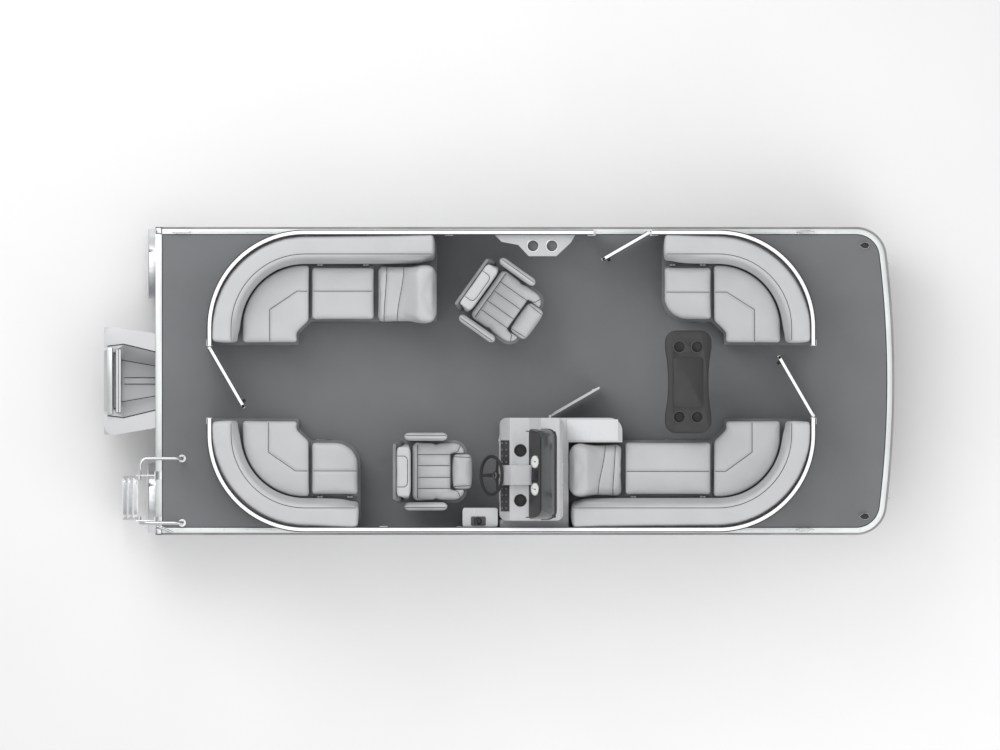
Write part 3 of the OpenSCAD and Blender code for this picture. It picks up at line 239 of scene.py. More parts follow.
def woven_vinyl():
    """Woven deck flooring: crossing cords, with darker gaps and slow shade drift."""
    made = Surface("woven_vinyl", (0.178, 0.186, 0.193), 0.72)
    across = made.bands(38, "X")
    along = made.bands(38, "Y")
    weave = made.node("ShaderNodeMath", operation="MULTIPLY")
    made.link(across, weave.inputs[0])
    made.link(along, weave.inputs[1])
    drift = made.noise(1.4, 3)
    both = made.node("ShaderNodeMath", operation="ADD")
    made.link(weave.outputs[0], both.inputs[0])
    made.link(drift, both.inputs[1])
    made.tint(both.outputs[0], 0.84, 1.14, 0.35, 1.2)
    made.bump(weave.outputs[0], 0.6, 0.0015)
    made.bump(made.noise(260, 3), 0.25, 0.0008)
    return made.material


def brushed_aluminium(name, colour, roughness=0.36, stretch=(2, 60, 60)):
    """Mill or brushed aluminium: fine streaks, cloudy oxide and small scuffs."""
    made = Surface(name, colour, roughness, 1.0)
    made.tint(made.noise(2.2, 5), 0.86, 1.06)
    made.vary_roughness(made.noise(12, 5, stretch), roughness - 0.09, roughness + 0.1)
    made.bump(made.noise(18, 6, stretch), 0.08, 0.0008)
    return made.material


def paint(name, colour, roughness=0.3, metallic=0.0):
    """Powder coat or enamel: faint orange peel and a thin clear coat."""
    made = Surface(name, colour, roughness, metallic)
    made.tint(made.noise(1.7, 4), 0.97, 1.02)
    made.vary_roughness(made.noise(6, 4), roughness - 0.05, roughness + 0.08)
    made.bump(made.noise(210, 2), 0.08, 0.0005)
    made.set("Coat Weight", 0.25)
    made.set("Coat Roughness", 0.12)
    return made.material


def chrome(name, colour=(0.66, 0.67, 0.68), roughness=0.16):
    made = Surface(name, colour, roughness, 1.0)
    made.vary_roughness(made.noise(25, 4), roughness - 0.04, roughness + 0.09)
    made.tint(made.noise(8, 3), 0.93, 1.02)
    made.bump(made.noise(60, 3), 0.03, 0.0004)
    return made.material


def moulded_plastic(name, colour, roughness=0.5):
    """Rotomoulded plastic: pebbled skin and slightly uneven shade."""
    made = Surface(name, colour, roughness)
    made.tint(made.noise(5, 4), 0.85, 1.2)
    made.vary_roughness(made.noise(14, 3), roughness - 0.08, roughness + 0.1)
    made.bump(made.cells(330), 0.22, 0.0005)
    made.bump(made.noise(45, 3), 0.08, 0.001)
    return made.material


def gelcoat(name, colour):
    """Polished gelcoat: deep gloss over barely visible ripples."""
    made = Surface(name, colour, 0.28)
    made.tint(made.noise(1.3, 3), 0.975, 1.015)
    made.vary_roughness(made.noise(7, 3), 0.22, 0.33)
    made.bump(made.noise(24, 2), 0.05, 0.0012)
    made.set("Coat Weight", 0.5)
    made.set("Coat Roughness", 0.08)
    return made.material


def smoked_acrylic():
    made = Surface("smoked_acrylic", (0.105, 0.112, 0.112), 0.12)
    made.tint(made.noise(3, 2), 0.94, 1.04)
    made.set("Transmission Weight", 0.2)
    made.set("IOR", 1.49)
    made.bump(made.noise(5, 2), 0.02, 0.002)
    return made.material


def table_laminate():
    """Dark laminate with a fine speckle."""
    made = Surface("table_laminate", (0.010, 0.0095, 0.010), 0.5)
    made.tint(made.noise(520, 2), 0.7, 1.5, 0.4, 0.62)
    made.vary_roughness(made.noise(10, 3), 0.32, 0.44)
    made.bump(made.noise(300, 3), 0.1, 0.0005)
    made.set("Coat Weight", 0.15)
    made.set("Coat Roughness", 0.2)
    return made.material


def lamp_lens(name, colour):
    made = Surface(name, colour, 0.1)
    made.tint(made.cells(90), 0.8, 1.1)
    made.bump(made.cells(140), 0.3, 0.001)
    made.set("Transmission Weight", 0.35)
    made.set("Coat Weight", 0.6)
    return made.material


M = {
    "vinyl": seat_vinyl("seat_vinyl", (0.492, 0.502, 0.512)),
    "vinyl_dark": seat_vinyl("piping", (0.020, 0.021, 0.022)),
    "floor_weave": woven_vinyl(),
    "tube": brushed_aluminium("tube_aluminium", (0.74, 0.755, 0.77)),
    "trim": brushed_aluminium("trim_aluminium", (0.66, 0.685, 0.68), 0.42),
    "pod": paint("pod_paint", (0.60, 0.61, 0.62), 0.4),
    "rub": moulded_plastic("rub_rail", (0.30, 0.295, 0.30), 0.5),
    "fence": paint("fence_paint", (0.90, 0.905, 0.91), 0.26),
    "panel": paint("fence_panel", (0.62, 0.635, 0.65), 0.3),
    "chrome": chrome("bright_metal"),
    "steel": brushed_aluminium("stainless", (0.62, 0.63, 0.64), 0.30, (30, 30, 3)),
    "black": moulded_plastic("black_plastic", (0.014, 0.014, 0.015), 0.5),
    "grey": moulded_plastic("grey_plastic", (0.13, 0.133, 0.137), 0.48),
    "shell": moulded_plastic("seat_shell", (0.20, 0.204, 0.208), 0.5),
    "gelcoat": gelcoat("gelcoat", (0.47, 0.48, 0.488)),
    "dash_dark": moulded_plastic("dash_dark", (0.045, 0.044, 0.046), 0.42),
    "screen": smoked_acrylic(),
    "table": table_laminate(),
    "glass": gelcoat("display_glass", (0.012, 0.014, 0.017)),
    "dial": paint("dial", (0.86, 0.86, 0.85), 0.35),
    "rubber": moulded_plastic("rubber", (0.02, 0.02, 0.021), 0.75),
    "red_lens": lamp_lens("red_lens", (0.5, 0.02, 0.02)),
    "green_lens": lamp_lens("green_lens", (0.02, 0.35, 0.08)),
}


# ---------------------------------------------------------------- mesh building

def round_turn(count):
    """Evenly spaced angles of one whole turn."""
    return [2 * math.pi * k / count for k in range(count)]


class Shape:
    """Gathers simple solids into one mesh, each with its own material."""

    def __init__(self):
        self.bm = bmesh.new()
        self.materials = []

    def slot(self, key):
        if key not in self.materials:
            self.materials.append(key)
        return self.materials.index(key)

    def faces(self, verts, faces, key):
        made = [self.bm.verts.new(v) for v in verts]
        index = self.slot(key)
        out = []
        for f in faces:
            face = self.bm.faces.new([made[i] for i in f])
            face.material_index = index
            out.append(face)
        bmesh.ops.recalc_face_normals(self.bm, faces=out)
        return out

    def soften(self, faces, width, segments=2, angle=30):
        """Rounds the edges of some faces."""
        if width <= 0:
            return
        edges = {e for f in faces for e in f.edges
            if e.is_manifold and e.calc_face_angle(0) > math.radians(angle)}
        index = faces[0].material_index
        made = bmesh.ops.bevel(self.bm, geom=list(edges), offset=width, segments=segments,
            profile=0.5, affect="EDGES", clamp_overlap=True)
        for f in made["faces"]:
            f.material_index = index

    def box(self, lo, hi, key, bevel=0.0, tilt=None):
        """A box between two corners, placed by a matrix if there is one."""
        verts = [Vector((x, y, z)) for x in (lo[0], hi[0]) for y in (lo[1], hi[1])
            for z in (lo[2], hi[2])]
        if tilt is not None:
            verts = [tilt @ v for v in verts]
        faces = self.faces(verts,
            [(0, 1, 3, 2), (4, 6, 7, 5), (0, 4, 5, 1), (2, 3, 7, 6), (0, 2, 6, 4), (1, 5, 7, 3)], key)
        self.soften(faces, bevel)

    def loft(self, rings, key, caps=True, closed=False):
        """A skin over rings of points that all have the same count."""
        n = len(rings[0])
        verts = [p for ring in rings for p in ring]
        faces = []
        last = len(rings) if closed else len(rings) - 1
        for i in range(last):
            a, b = i * n, ((i + 1) % len(rings)) * n
            faces += [(a + k, a + (k + 1) % n, b + (k + 1) % n, b + k) for k in range(n)]
        if caps and not closed:
            faces += [tuple(range(n)), tuple((len(rings) - 1) * n + k for k in range(n))]
        return self.faces(verts, faces, key)

    def prism(self, outline, z0, z1, key, bevel=0.0):
        """An upright solid with a flat outline."""
        faces = self.loft([[(x, y, z0) for x, y in outline], [(x, y, z1) for x, y in outline]], key)
        self.soften(faces, bevel)

    def lathe(self, place, profile, key, segments=32):
        """A turned solid: profile is (radius, height) pairs along the local z of place."""
        rings = []
        for r, h in profile:
            rings.append([
                place @ Vector((max(r, 1e-5) * math.cos(a), max(r, 1e-5) * math.sin(a), h))
                for a in round_turn(segments)
            ])
        self.loft(rings, key)

    def tube(self, points, r, key, segments=12, closed=False):
        """A round bar along a line of points."""
        points = [Vector(p) for p in points]
        rings = []
        side = None
        n = len(points)
        for i, p in enumerate(points):
            before = points[i - 1] if i or closed else points[i]
            after = points[(i + 1) % n] if i < n - 1 or closed else points[i]
            way = (after - before).normalized()
            if side is None:
                side = way.cross(Vector((0, 0, 1)))
                if side.length < 0.1:
                    side = way.cross(Vector((1, 0, 0)))
            side = (side - way * side.dot(way)).normalized()
            up = way.cross(side)
            rings.append([p + (side * math.cos(a) + up * math.sin(a)) * r
                for a in round_turn(segments)])
        self.loft(rings, key, closed=closed)

    def sweep(self, path, profile, key, closed=False):
        """Sweeps an upright profile of (inboard, z) along a path of (point, inboard normal)."""
        rings = [[(p[0] + n[0] * u, p[1] + n[1] * u, z) for u, z in profile] for p, n in path]
        return self.loft(rings, key, closed=closed)

    def make(self, name, body=HULL, replaces=(), smooth=40):
        mesh = bpy.data.meshes.new(name)
        self.bm.to_mesh(mesh)
        self.bm.free()
        for key in self.materials:
            mesh.materials.append(M[key])
        return place_piece(name, mesh, body, replaces, smooth)


def place_piece(name, mesh, body, replaces=(), smooth=40):
    for polygon in mesh.polygons:
        polygon.use_smooth = True
    mesh.set_sharp_from_angle(angle=math.radians(smooth))
    made = bpy.data.objects.new(name, mesh)
    bpy.context.scene.collection.objects.link(made)
    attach(made, body)
    if replaces:
        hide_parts(*replaces)
    return made


def arc(centre, r, start, end, steps=8):
    """Points of an arc in the plane, by angles in degrees."""
    return [
        (centre[0] + r * math.cos(math.radians(start + (end - start) * k / steps)),
         centre[1] + r * math.sin(math.radians(start + (end - start) * k / steps)))
        for k in range(steps + 1)
    ]


def rounded(lo, hi, r, steps=6):
    """A rounded rectangle's outline."""
    x0, y0, x1, y1 = lo[0] + r, lo[1] + r, hi[0] - r, hi[1] - r
    corners = ((x1, y1), (x0, y1), (x0, y0), (x1, y0))
    return [p for k, middle in enumerate(corners) for p in arc(middle, r, 90 * k, 90 * k + 90, steps)]


def moved(x, y, z):
    return Matrix.Translation((x, y, z))


def spun(degrees, axis="Z"):
    return Matrix.Rotation(math.radians(degrees), 4, axis)


def at(point, axis=(0, 0, 1)):
    """A matrix whose local z runs along axis from a point."""
    return Matrix.Translation(point) @ Vector(axis).to_track_quat("Z", "Y").to_matrix().to_4x4()


def corner_point(end, side, u, v):
    """A point from its distances inboard of the end fence and of the side fence."""
    x = STERN_FENCE_X + u if end < 0 else BOW_FENCE_X - u
    return x, side * (FENCE_Y - v)


def corner_path(end, side, side_l, end_l, offset=0.0, steps=28, straight=2):
    """Points and inboard normals along a corner: the side, the round corner and the end."""
    path = []
    for k in range(straight):
        path.append(((side_l + (FENCE_R - side_l) * k / straight, offset), (0, 1)))
    for x, y in arc((FENCE_R, FENCE_R), FENCE_R - offset, 270, 180, steps):
        inward = Vector((FENCE_R - x, FENCE_R - y)).normalized()
        path.append(((x, y), (inward.x, inward.y)))
    for k in range(1, straight + 1):
        path.append(((offset, FENCE_R + (end_l - FENCE_R) * k / straight), (1, 0)))
    turned = []
    for (u, v), (nu, nv) in path:
        turned.append((corner_point(end, side, u, v), (-end * nu, -side * nv)))
    return turned


def edge_profile(points, r, steps=3):
    """Rounds the corners of a closed profile."""
    out = []
    n = len(points)
    for i, p in enumerate(points):
        p = Vector(p)
        a, b = Vector(points[i - 1]), Vector(points[(i + 1) % n])
        ra = min(r, (a - p).length * 0.45)
        rb = min(r, (b - p).length * 0.45)
        s, e = p + (a - p).normalized() * ra, p + (b - p).normalized() * rb
        for k in range(steps + 1):
            t = k / steps
            q = s * (1 - t) ** 2 + p * 2 * t * (1 - t) + e * t * t
            out.append((q.x, q.y))
    return out


def shaped(node, key, name=None, bevel=0.004, segments=2, smooth=40):
    """A CAD node as a finished piece: flat facets joined, hard edges rounded."""
    bm = bmesh.new()
    bm.from_mesh(NODES[node].data)
    bmesh.ops.remove_doubles(bm, verts=bm.verts, dist=0.00002)
    bmesh.ops.dissolve_limit(bm, angle_limit=math.radians(0.6), verts=bm.verts, edges=bm.edges)
    edges = [e for e in bm.edges
        if e.is_manifold and e.calc_face_angle(0) > math.radians(32) and e.calc_length() > bevel * 0.8]
    if bevel > 0:
        bmesh.ops.bevel(bm, geom=edges, offset=bevel, segments=segments, profile=0.5, affect="EDGES",
            clamp_overlap=True)
    mesh = bpy.data.meshes.new(name or node + "_shell")
    bm.to_mesh(mesh)
    bm.free()
    mesh.materials.append(M[key])
    body = NODES[node]["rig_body"]
    return place_piece(name or node + "_shell", mesh, body, (node,), smooth)


def dress(node, key):
    """Gives a CAD node that stays its finished material."""
    node_object = NODES[node]
    node_object.data.materials.clear()
    node_object.data.materials.append(M[key])


# ---------------------------------------------------------------- padded pieces

SOFT = []
PUFF_FRAMES = 20
CLOTH = {
    "quality": 3,
    "mass": 0.4,
    "use_pressure": True,
    "uniform_pressure_force": 4,
    "tension_stiffness": 8,
    "compression_stiffness": 8,
    "bending_stiffness": 0.6,
}


def islands(bm):
    """The separate solids of a mesh, as lists of vertices."""
    seen, out = set(), []
    for start in bm.verts:
        if start in seen:
            continue
        group, todo = [], [start]
        seen.add(start)
        while todo:
            v = todo.pop()
            group.append(v)
            for e in v.link_edges:
                w = e.other_vert(v)
                if w not in seen:
                    seen.add(w)
                    todo.append(w)
        out.append(group)
    return out


def cushion(name, node, part, shrink, round_r, voxel, cap, settle=True):
    """A padded piece in the space of a CAD solid. It starts a little smaller than that
    solid, with round edges, and puff() swells it."""
    bm = bmesh.new()
    bm.from_mesh(NODES[node].data)
    bmesh.ops.remove_doubles(bm, verts=bm.verts, dist=0.00002)
    if part:
        keep = set(part(islands(bm)))
        bmesh.ops.delete(bm, geom=[v for v in bm.verts if v not in keep], context="VERTS")
    bmesh.ops.dissolve_limit(bm, angle_limit=math.radians(0.6), verts=bm.verts, edges=bm.edges)
    bm.normal_update()
    moves = {v: -v.normal * shrink * v.calc_shell_factor() for v in bm.verts}
    for v, move in moves.items():
        v.co += move
    edges = [e for e in bm.edges if e.is_manifold and e.calc_face_angle(0) > math.radians(24)]
    bmesh.ops.bevel(bm, geom=edges, offset=round_r, segments=3, profile=0.5, affect="EDGES",
        clamp_overlap=True)
    mesh = bpy.data.meshes.new(name)
    bm.to_mesh(mesh)
    bm.free()
    mesh.materials.append(M["vinyl"])
    made = bpy.data.objects.new(name, mesh)
    bpy.context.scene.collection.objects.link(made)
    remesh = made.modifiers.new("remesh", "REMESH")
    remesh.mode = "VOXEL"
    remesh.voxel_size = voxel
    apply_modifiers(made)
    SOFT.append({"piece": made, "node": node, "cap": cap, "settle": settle, "fill": 0.7})
    return made


def apply_modifiers(made):
    depsgraph = bpy.context.evaluated_depsgraph_get()
    done = bpy.data.meshes.new_from_object(made.evaluated_get(depsgraph))
    made.modifiers.clear()
    old = made.data
    made.data = done
    bpy.data.meshes.remove(old)


def puff():
    """Swells every cushion together with cloth pressure, caps how far each point moves and
    smooths the result. A cushion that rests on a board keeps its flat underside."""
    rest = {}
    for soft in SOFT:
        made = soft["piece"]
        rest[made.name] = [v.co.copy() for v in made.data.vertices]
        cloth = made.modifiers.new("cloth", "CLOTH")
        for setting, value in CLOTH.items():
            setattr(cloth.settings, setting, value)
        cloth.settings.effector_weights.gravity = 0
        cloth.collision_settings.use_collision = False
        cloth.point_cache.frame_start = 1
        cloth.point_cache.frame_end = PUFF_FRAMES
    for number in range(1, PUFF_FRAMES + 1):
        bpy.context.scene.frame_set(number)
    for soft in SOFT:
        made = soft["piece"]
        depsgraph = bpy.context.evaluated_depsgraph_get()
        swollen = [v.co.copy() for v in made.evaluated_get(depsgraph).data.vertices]
        made.modifiers.clear()
        floor = min(p.z for p in rest[made.name])
        for v, start, end in zip(made.data.vertices, rest[made.name], swollen):
            move = end - start
            if move.length > soft["cap"]:
                move = move.normalized() * soft["cap"]
            v.co = start + move
            if soft["settle"]:
                v.co.z = max(v.co.z, floor)
        smooth = made.modifiers.new("smooth", "SMOOTH")
        smooth.factor = 0.5
        smooth.iterations = 4
        finer = made.modifiers.new("finer", "SUBSURF")
        finer.levels = 1
        finer.render_levels = 1
        apply_modifiers(made)
        for polygon in made.data.polygons:
            polygon.use_smooth = True
        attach(made, NODES[soft["node"]]["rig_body"])
        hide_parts(soft["node"])
    bpy.context.scene.frame_set(1)


def press(made, lines, depth, width=0.014):
    """Pulls a piece's top in along plan lines, as stitched seams do."""
    mesh = made.data
    co = np.empty(len(mesh.vertices) * 3)
    up = np.empty(len(mesh.vertices) * 3)
    mesh.vertices.foreach_get("co", co)
    mesh.vertices.foreach_get("normal", up)
    co, up = co.reshape(-1, 3), up.reshape(-1, 3)
    near = np.full(len(co), 1.0)
    for line in lines:
        for a, b in zip(line, line[1:]):
            a, b = np.array(a), np.array(b)
            along = b - a
            t = np.clip(((co[:, :2] - a) @ along) / (along @ along), 0, 1)
            near = np.minimum(near, np.linalg.norm(co[:, :2] - a - t[:, None] * along, axis=1))
    co[:, 2] -= np.where(up[:, 2] > 0.1, depth * np.exp(-((near / width) ** 2)), 0)
    mesh.vertices.foreach_set("co", co.ravel())
    mesh.update()


def seams(made, lines, body, depth=0.009, r=0.0026, key="vinyl_dark", step=0.012):
    """Sewn seams on a piece: the pulled-in valleys and the welts that lie in them."""
    press(made, lines, depth)
    tree = BVHTree.FromPolygons([v.co for v in made.data.vertices],
        [p.vertices for p in made.data.polygons])
    shape = Shape()
    for line in lines:
        out = []
        for (ax, ay), (bx, by) in zip(line, line[1:]):
            count = max(1, round(math.hypot(bx - ax, by - ay) / step))
            for k in range(count + 1):
                x, y = ax + (bx - ax) * k / count, ay + (by - ay) * k / count
                hit = tree.ray_cast(Vector((x, y, 4)), Vector((0, 0, -1)))[0]
                if hit and (not out or (Vector((x, y)) - out[-1].xy).length > 0.002):
                    out.append(Vector((x, y, hit.z + r * 0.3)))
        if len(out) > 2:
            shape.tube(out, r, key, segments=8)
    shape.make(made.name + "_welts", body, smooth=60)


# ---------------------------------------------------------------- hull

def fore(x):
    """A distance forward of the deck's stern edge, in the row frame."""
    return STERN_X + x


def pontoons():
    """The tubes keep the CAD shape, shaded smooth, with weld beads, a cap ring and a plug."""
    for node in ("port_pontoon", "starboard_pontoon"):
        lo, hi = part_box(node)
        shaped(node, "tube", bevel=0, smooth=26)
        middle = (lo.y + hi.y) / 2
        beads = Shape()
        for x in (lo.x + 0.031, fore(1.62), fore(3.38), fore(5.2)):
            ring = [(x, middle + TUBE_R * math.cos(a), TUBE_Z + TUBE_R * math.sin(a))
                for a in round_turn(72)]
            beads.tube(ring, 0.0035, "steel", segments=6, closed=True)
        cap = moved(lo.x + 0.004, middle, TUBE_Z - 0.2) @ spun(-90, "Y")
        beads.lathe(cap, [(0, -0.02), (0.016, -0.02), (0.016, 0.0), (0.012, 0.003), (0, 0.003)],
            "chrome", 24)
        beads.make(node + "_welds", HULL)
    dress("crossmembers", "tube")


def deck_outline(inset, steps=16):
    """The deck's edge from the starboard stern corner round the bow, as (point, inboard normal)."""
    bulge, corner_r = 0.063, 0.26
    corner_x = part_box("deck_trim")[1].x - bulge - corner_r
    corner_y = HALF_BEAM - corner_r
    turn = 2 * math.degrees(math.atan(bulge / corner_y))
    arc_r = corner_r + corner_y / math.sin(math.radians(turn))
    arc_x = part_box("deck_trim")[1].x - arc_r
    path = [((STERN_X, inset - HALF_BEAM), (0, 1)), ((fore(3), inset - HALF_BEAM), (0, 1))]
    for centre, r, start, end in (
        ((corner_x, -corner_y), corner_r, -90, -turn),
        ((arc_x, 0), arc_r, -turn, turn),
        ((corner_x, corner_y), corner_r, turn, 90),
    ):
        for k in range(steps + 1):
            a = math.radians(start + (end - start) * k / steps)
            n = (-math.cos(a), -math.sin(a))
            path.append(((centre[0] - n[0] * (r - inset), centre[1] - n[1] * (r - inset)), n))
    path += [((fore(3), HALF_BEAM - inset), (0, -1)), ((STERN_X, HALF_BEAM - inset), (0, -1))]
    tidy = [path[0]]
    for step in path[1:]:
        if (Vector(step[0]) - Vector(tidy[-1][0])).length > 0.0005:
            tidy.append(step)
    return tidy


def deck_edge():
    """Rub rail, skirt, bright trim and stern strip in place of the CAD trim, and the floor's vinyl edge."""
    dress("deck", "floor_weave")
    path = deck_outline(0)
    z = DECK_Z
    rub = Shape()
    rub.sweep(path, [
        (0.027, z - 0.045), (0.006, z - 0.045), (0.002, z - 0.041), (0, z - 0.036),
        (0.003, z - 0.031), (0.003, z - 0.021),
        (0, z - 0.016), (0.002, z - 0.011), (0.006, z - 0.007), (0.027, z - 0.007),
    ], "rub")
    rub.sweep(path, [(0.0045, z - 0.030), (0.0008, z - 0.029), (0.0008, z - 0.023),
        (0.0045, z - 0.022)], "steel")
    for y in (0.032 - HALF_BEAM, HALF_BEAM - 0.032):
        rub.box((fore(0), y - 0.032, z - 0.048), (fore(0.058), y + 0.032, z + 0.007), "grey", 0.006)
        rub.box((fore(0.008), y - 0.022, z + 0.0068), (fore(0.048), y + 0.022, z + 0.0085), "steel",
            0.001)
    rub.make("rub_rail", HULL, ("deck_trim",))

    trim = Shape()
    trim.sweep(path, [(0.027, CROSS_Z), (0.031, CROSS_Z), (0.031, z - 0.001), (0.027, z - 0.001)],
        "trim")
    trim.sweep(path, edge_profile([(0.018, z), (0.061, z), (0.061, z + 0.0045), (0.018, z + 0.0045)],
        0.002), "trim")
    trim.box((STERN_X, 0.06 - HALF_BEAM, CROSS_Z), (fore(0.004), HALF_BEAM - 0.06, z), "trim", 0.001)
    trim.box((STERN_X, 0.06 - HALF_BEAM, z), (fore(0.054), HALF_BEAM - 0.06, z + 0.0045), "trim",
        0.0015)
    trim.make("deck_bright_trim", HULL)

    seal = Shape()
    seal.sweep(path, [(0.0605, z), (0.067, z), (0.066, z + 0.003), (0.0605, z + 0.004)], "rubber")
    seal.box((fore(0.0535), 0.066 - HALF_BEAM, z), (fore(0.060), HALF_BEAM - 0.066, z + 0.003),
        "rubber", 0.0008)
    seal.make("floor_seal", HULL)

    screws = Shape()
    for side in (-1, 1):
        for k in range(30):
            place = moved(fore(0.18 + k * 0.198), side * (HALF_BEAM - 0.044), z + 0.0045)
            screws.lathe(place, [(0.006, 0), (0.006, 0.0008), (0.003, 0.002), (0, 0.002)], "steel", 12)
    screws.make("trim_screws", HULL)


def motor_pod():
    shaped("motor_pod", "pod", bevel=0.004, smooth=30)
    shaped("motor_transom", "trim", bevel=0.003, smooth=30)
    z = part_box("motor_pod")[1].z
    well = z - 0.012 - 0.470 + 0.090
    trim = Shape()

    def bead(r, *points):
        trim.tube([(fore(px), py, pz) for px, py, pz in points], r, "black", 8)

    for side in (-1, 1):
        bead(0.0045, (-0.404, side * 0.292, z + 0.001), (-0.268, side * 0.309, z + 0.001),
            (-0.002, side * 0.245, z + 0.001))
        bead(0.004, (-0.286, side * 0.177, well + 0.003), (-0.002, side * 0.127, well + 0.003))
        bead(0.004, (-0.350, side * 0.240, z - 0.004), (-0.287, side * 0.177, well + 0.004))
        bead(0.003, (-0.262, side * 0.026, well + 0.011), (-0.004, side * 0.026, well + 0.011))
    bead(0.004, (-0.286, -0.177, well + 0.003), (-0.286, 0.177, well + 0.003))
    bead(0.004, (-0.350, -0.240, z - 0.002), (-0.350, 0.240, z - 0.002))
    trim.box((fore(-0.262), -0.025, well - 0.002), (fore(-0.004), 0.025, well + 0.011), "pod", 0.003)
    trim.make("pod_fittings", HULL)
    pads = Shape()
    lo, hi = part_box("motor_transom")
    pads.box((hi.x - 0.0525, lo.y + 0.01, hi.z - 0.0045), (hi.x - 0.006, hi.y - 0.01, hi.z + 0.003),
        "black", 0.002)
    for k in range(2):
        pads.box((hi.x - 0.0490 + k * 0.022, lo.y + 0.014, hi.z),
            (hi.x - 0.0310 + k * 0.022, hi.y - 0.014, hi.z + 0.0045), "pod", 0.002)
    pads.make("transom_cap", HULL)


def cleat(shape, place):
    half = 0.08
    shape.prism([(place @ Vector((x, y, 0)))[:2] for x,
        y in rounded((-0.052, -0.015), (0.052, 0.015), 0.014)], TRIM_Z, TRIM_Z + 0.006, "chrome", 0.002)
    for s in (-1, 1):
        leg = place @ moved(s * 0.026, 0, 0)
        shape.lathe(leg, [(0.013, 0.004), (0.010, 0.010), (0.0085, 0.017), (0.010, 0.024),
            (0, 0.024)], "chrome", 20)
        shape.lathe(place @ moved(s * 0.044, 0, 0.006), [(0.0045, 0), (0.0045, 0.0006), (0, 0.0014)],
            "steel", 12)
    rings = []
    for k in range(25):
        t = 2 * k / 24 - 1
        r = 0.0085 * (1 - 0.38 * t * t) * math.sqrt(max(0.0001, 1 - abs(t) ** 12))
        c = place @ Vector((t * half, 0, 0.0245 + 0.002 * t * t))
        across = (place.to_3x3() @ Vector((0, 1, 0))).normalized()
        up = Vector((0, 0, 1))
        rings.append([c + across * r * 1.15 * math.cos(a) + up * r * 0.85 * math.sin(a)
            for a in round_turn(16)])
    shape.loft(rings, "chrome")


def deck_fittings():
    shape = Shape()
    trim_y = HALF_BEAM - 0.043
    for x, y, turn in ((0.219, trim_y, 0), (0.08, 0.004 - trim_y, -22), (5.462, trim_y, 0),
            (5.462, -trim_y, 0)):
        cleat(shape, moved(fore(x), y, TRIM_Z) @ spun(turn))
    shape.make("mooring_cleats", HULL, ("cleats",))

    for name, side, lens in (("port", 1, "red_lens"), ("starboard", -1, "green_lens")):
        lamp = Shape()
        x, y = fore(5.961), side * (HALF_BEAM - 0.156)
        tear = []
        for k in range(40):
            a = 2 * math.pi * k / 40
            wide = 0.0305 * math.sin(a) * (0.5
                + 0.5 * math.cos(a)) ** 0.38 if math.cos(a) > -0.999 else 0
            tear.append((0.044 * math.cos(a), wide * 1.16))
        for key, layers in (
            ("chrome", ((1, 0), (1, 0.006), (0.95, 0.009))),
            (lens, ((0.9, 0.008), (0.92, 0.012), (0.9, 0.017))),
            ("black", ((0.9, 0.016), (0.88, 0.021), (0.74, 0.026), (0.45, 0.029), (0.1, 0.030))),
        ):
            lamp.loft([[(x + px * g, y + py * g, DECK_Z + h) for px, py in tear] for g, h in layers],
                key)
        lamp.make(name + "_bow_light", HULL, ("nav_lights",) if side > 0 else ())


LADDER_PITCH = 0.215
LADDER_STEP = 0.042


def ladder():
    shaped("boarding_ladder", "steel", bevel=0, smooth=32)
    shaped("ladder_handrails", "steel", bevel=0, smooth=32)
    treads = Shape()
    lean = math.radians(12)
    pivot_x, pivot_z = fore(-0.14), DECK_Z + 0.035
    d = 0.12
    while True:
        x, z = pivot_x - d * math.sin(lean), pivot_z - d * math.cos(lean)
        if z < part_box("boarding_ladder")[0].z + 0.03:
            break
        treads.box((x - LADDER_STEP / 2 + 0.002, -1.128, z + 0.008),
            (x + LADDER_STEP / 2 - 0.010, -0.843, z + 0.0115), "tube", 0.0015)
        for k in range(5):
            rx = x - LADDER_STEP / 2 + 0.006 + k * (LADDER_STEP - 0.02) / 4.6
            treads.box((rx, -1.12, z + 0.0115), (rx + 0.005, -0.851, z + 0.0142), "steel", 0.001)
        d += LADDER_PITCH
    treads.make("ladder_treads", "boarding_ladder")


# ---------------------------------------------------------------- fence and gates

FENCES = {
    "port_aft": (-1, 1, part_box("port_aft_fence")[1].x - STERN_FENCE_X, 0.9495),
    "starboard_aft": (-1, -1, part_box("starboard_aft_fence")[1].x - STERN_FENCE_X, 0.9355),
    "port_bow": (1, 1, 1.357, 0.9495),
    "starboard_bow": (1, -1, BOW_FENCE_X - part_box("starboard_bow_fence")[0].x, 0.9355),
}
POST_PITCH = 0.8


def rail_profile(z0, z1, half=RAIL / 2, r=0.005):
    return edge_profile([(-half, z0), (half, z0), (half, z1), (-half, z1)], r)


def panel_profile(z0, z1, u=-0.0155, t=0.0035, ribs=7):
    """An upright sheet with pressed horizontal ribs that stand inboard."""
    outer, inner = [], []
    for k in range(ribs):
        middle = z0 + (z1 - z0) * (k + 0.5) / ribs
        for dz, du in ((-0.016, 0), (-0.009, 0.005), (0.009, 0.005), (0.016, 0)):
            outer.append((u + du, middle + dz))
            inner.append((u + t + du, middle + dz))
    return [(u, z0), (u + t, z0)] + inner + [(u + t, z1), (u, z1)] + outer[::-1]


def fence_box(shape, end, side, u0, u1, v0, v1, z0, z1, key, bevel):
    xa, ya = corner_point(end, side, u0, v0)
    xb, yb = corner_point(end, side, u1, v1)
    shape.box((min(xa, xb), min(ya, yb), z0), (max(xa, xb), max(ya, yb), z1), key, bevel)


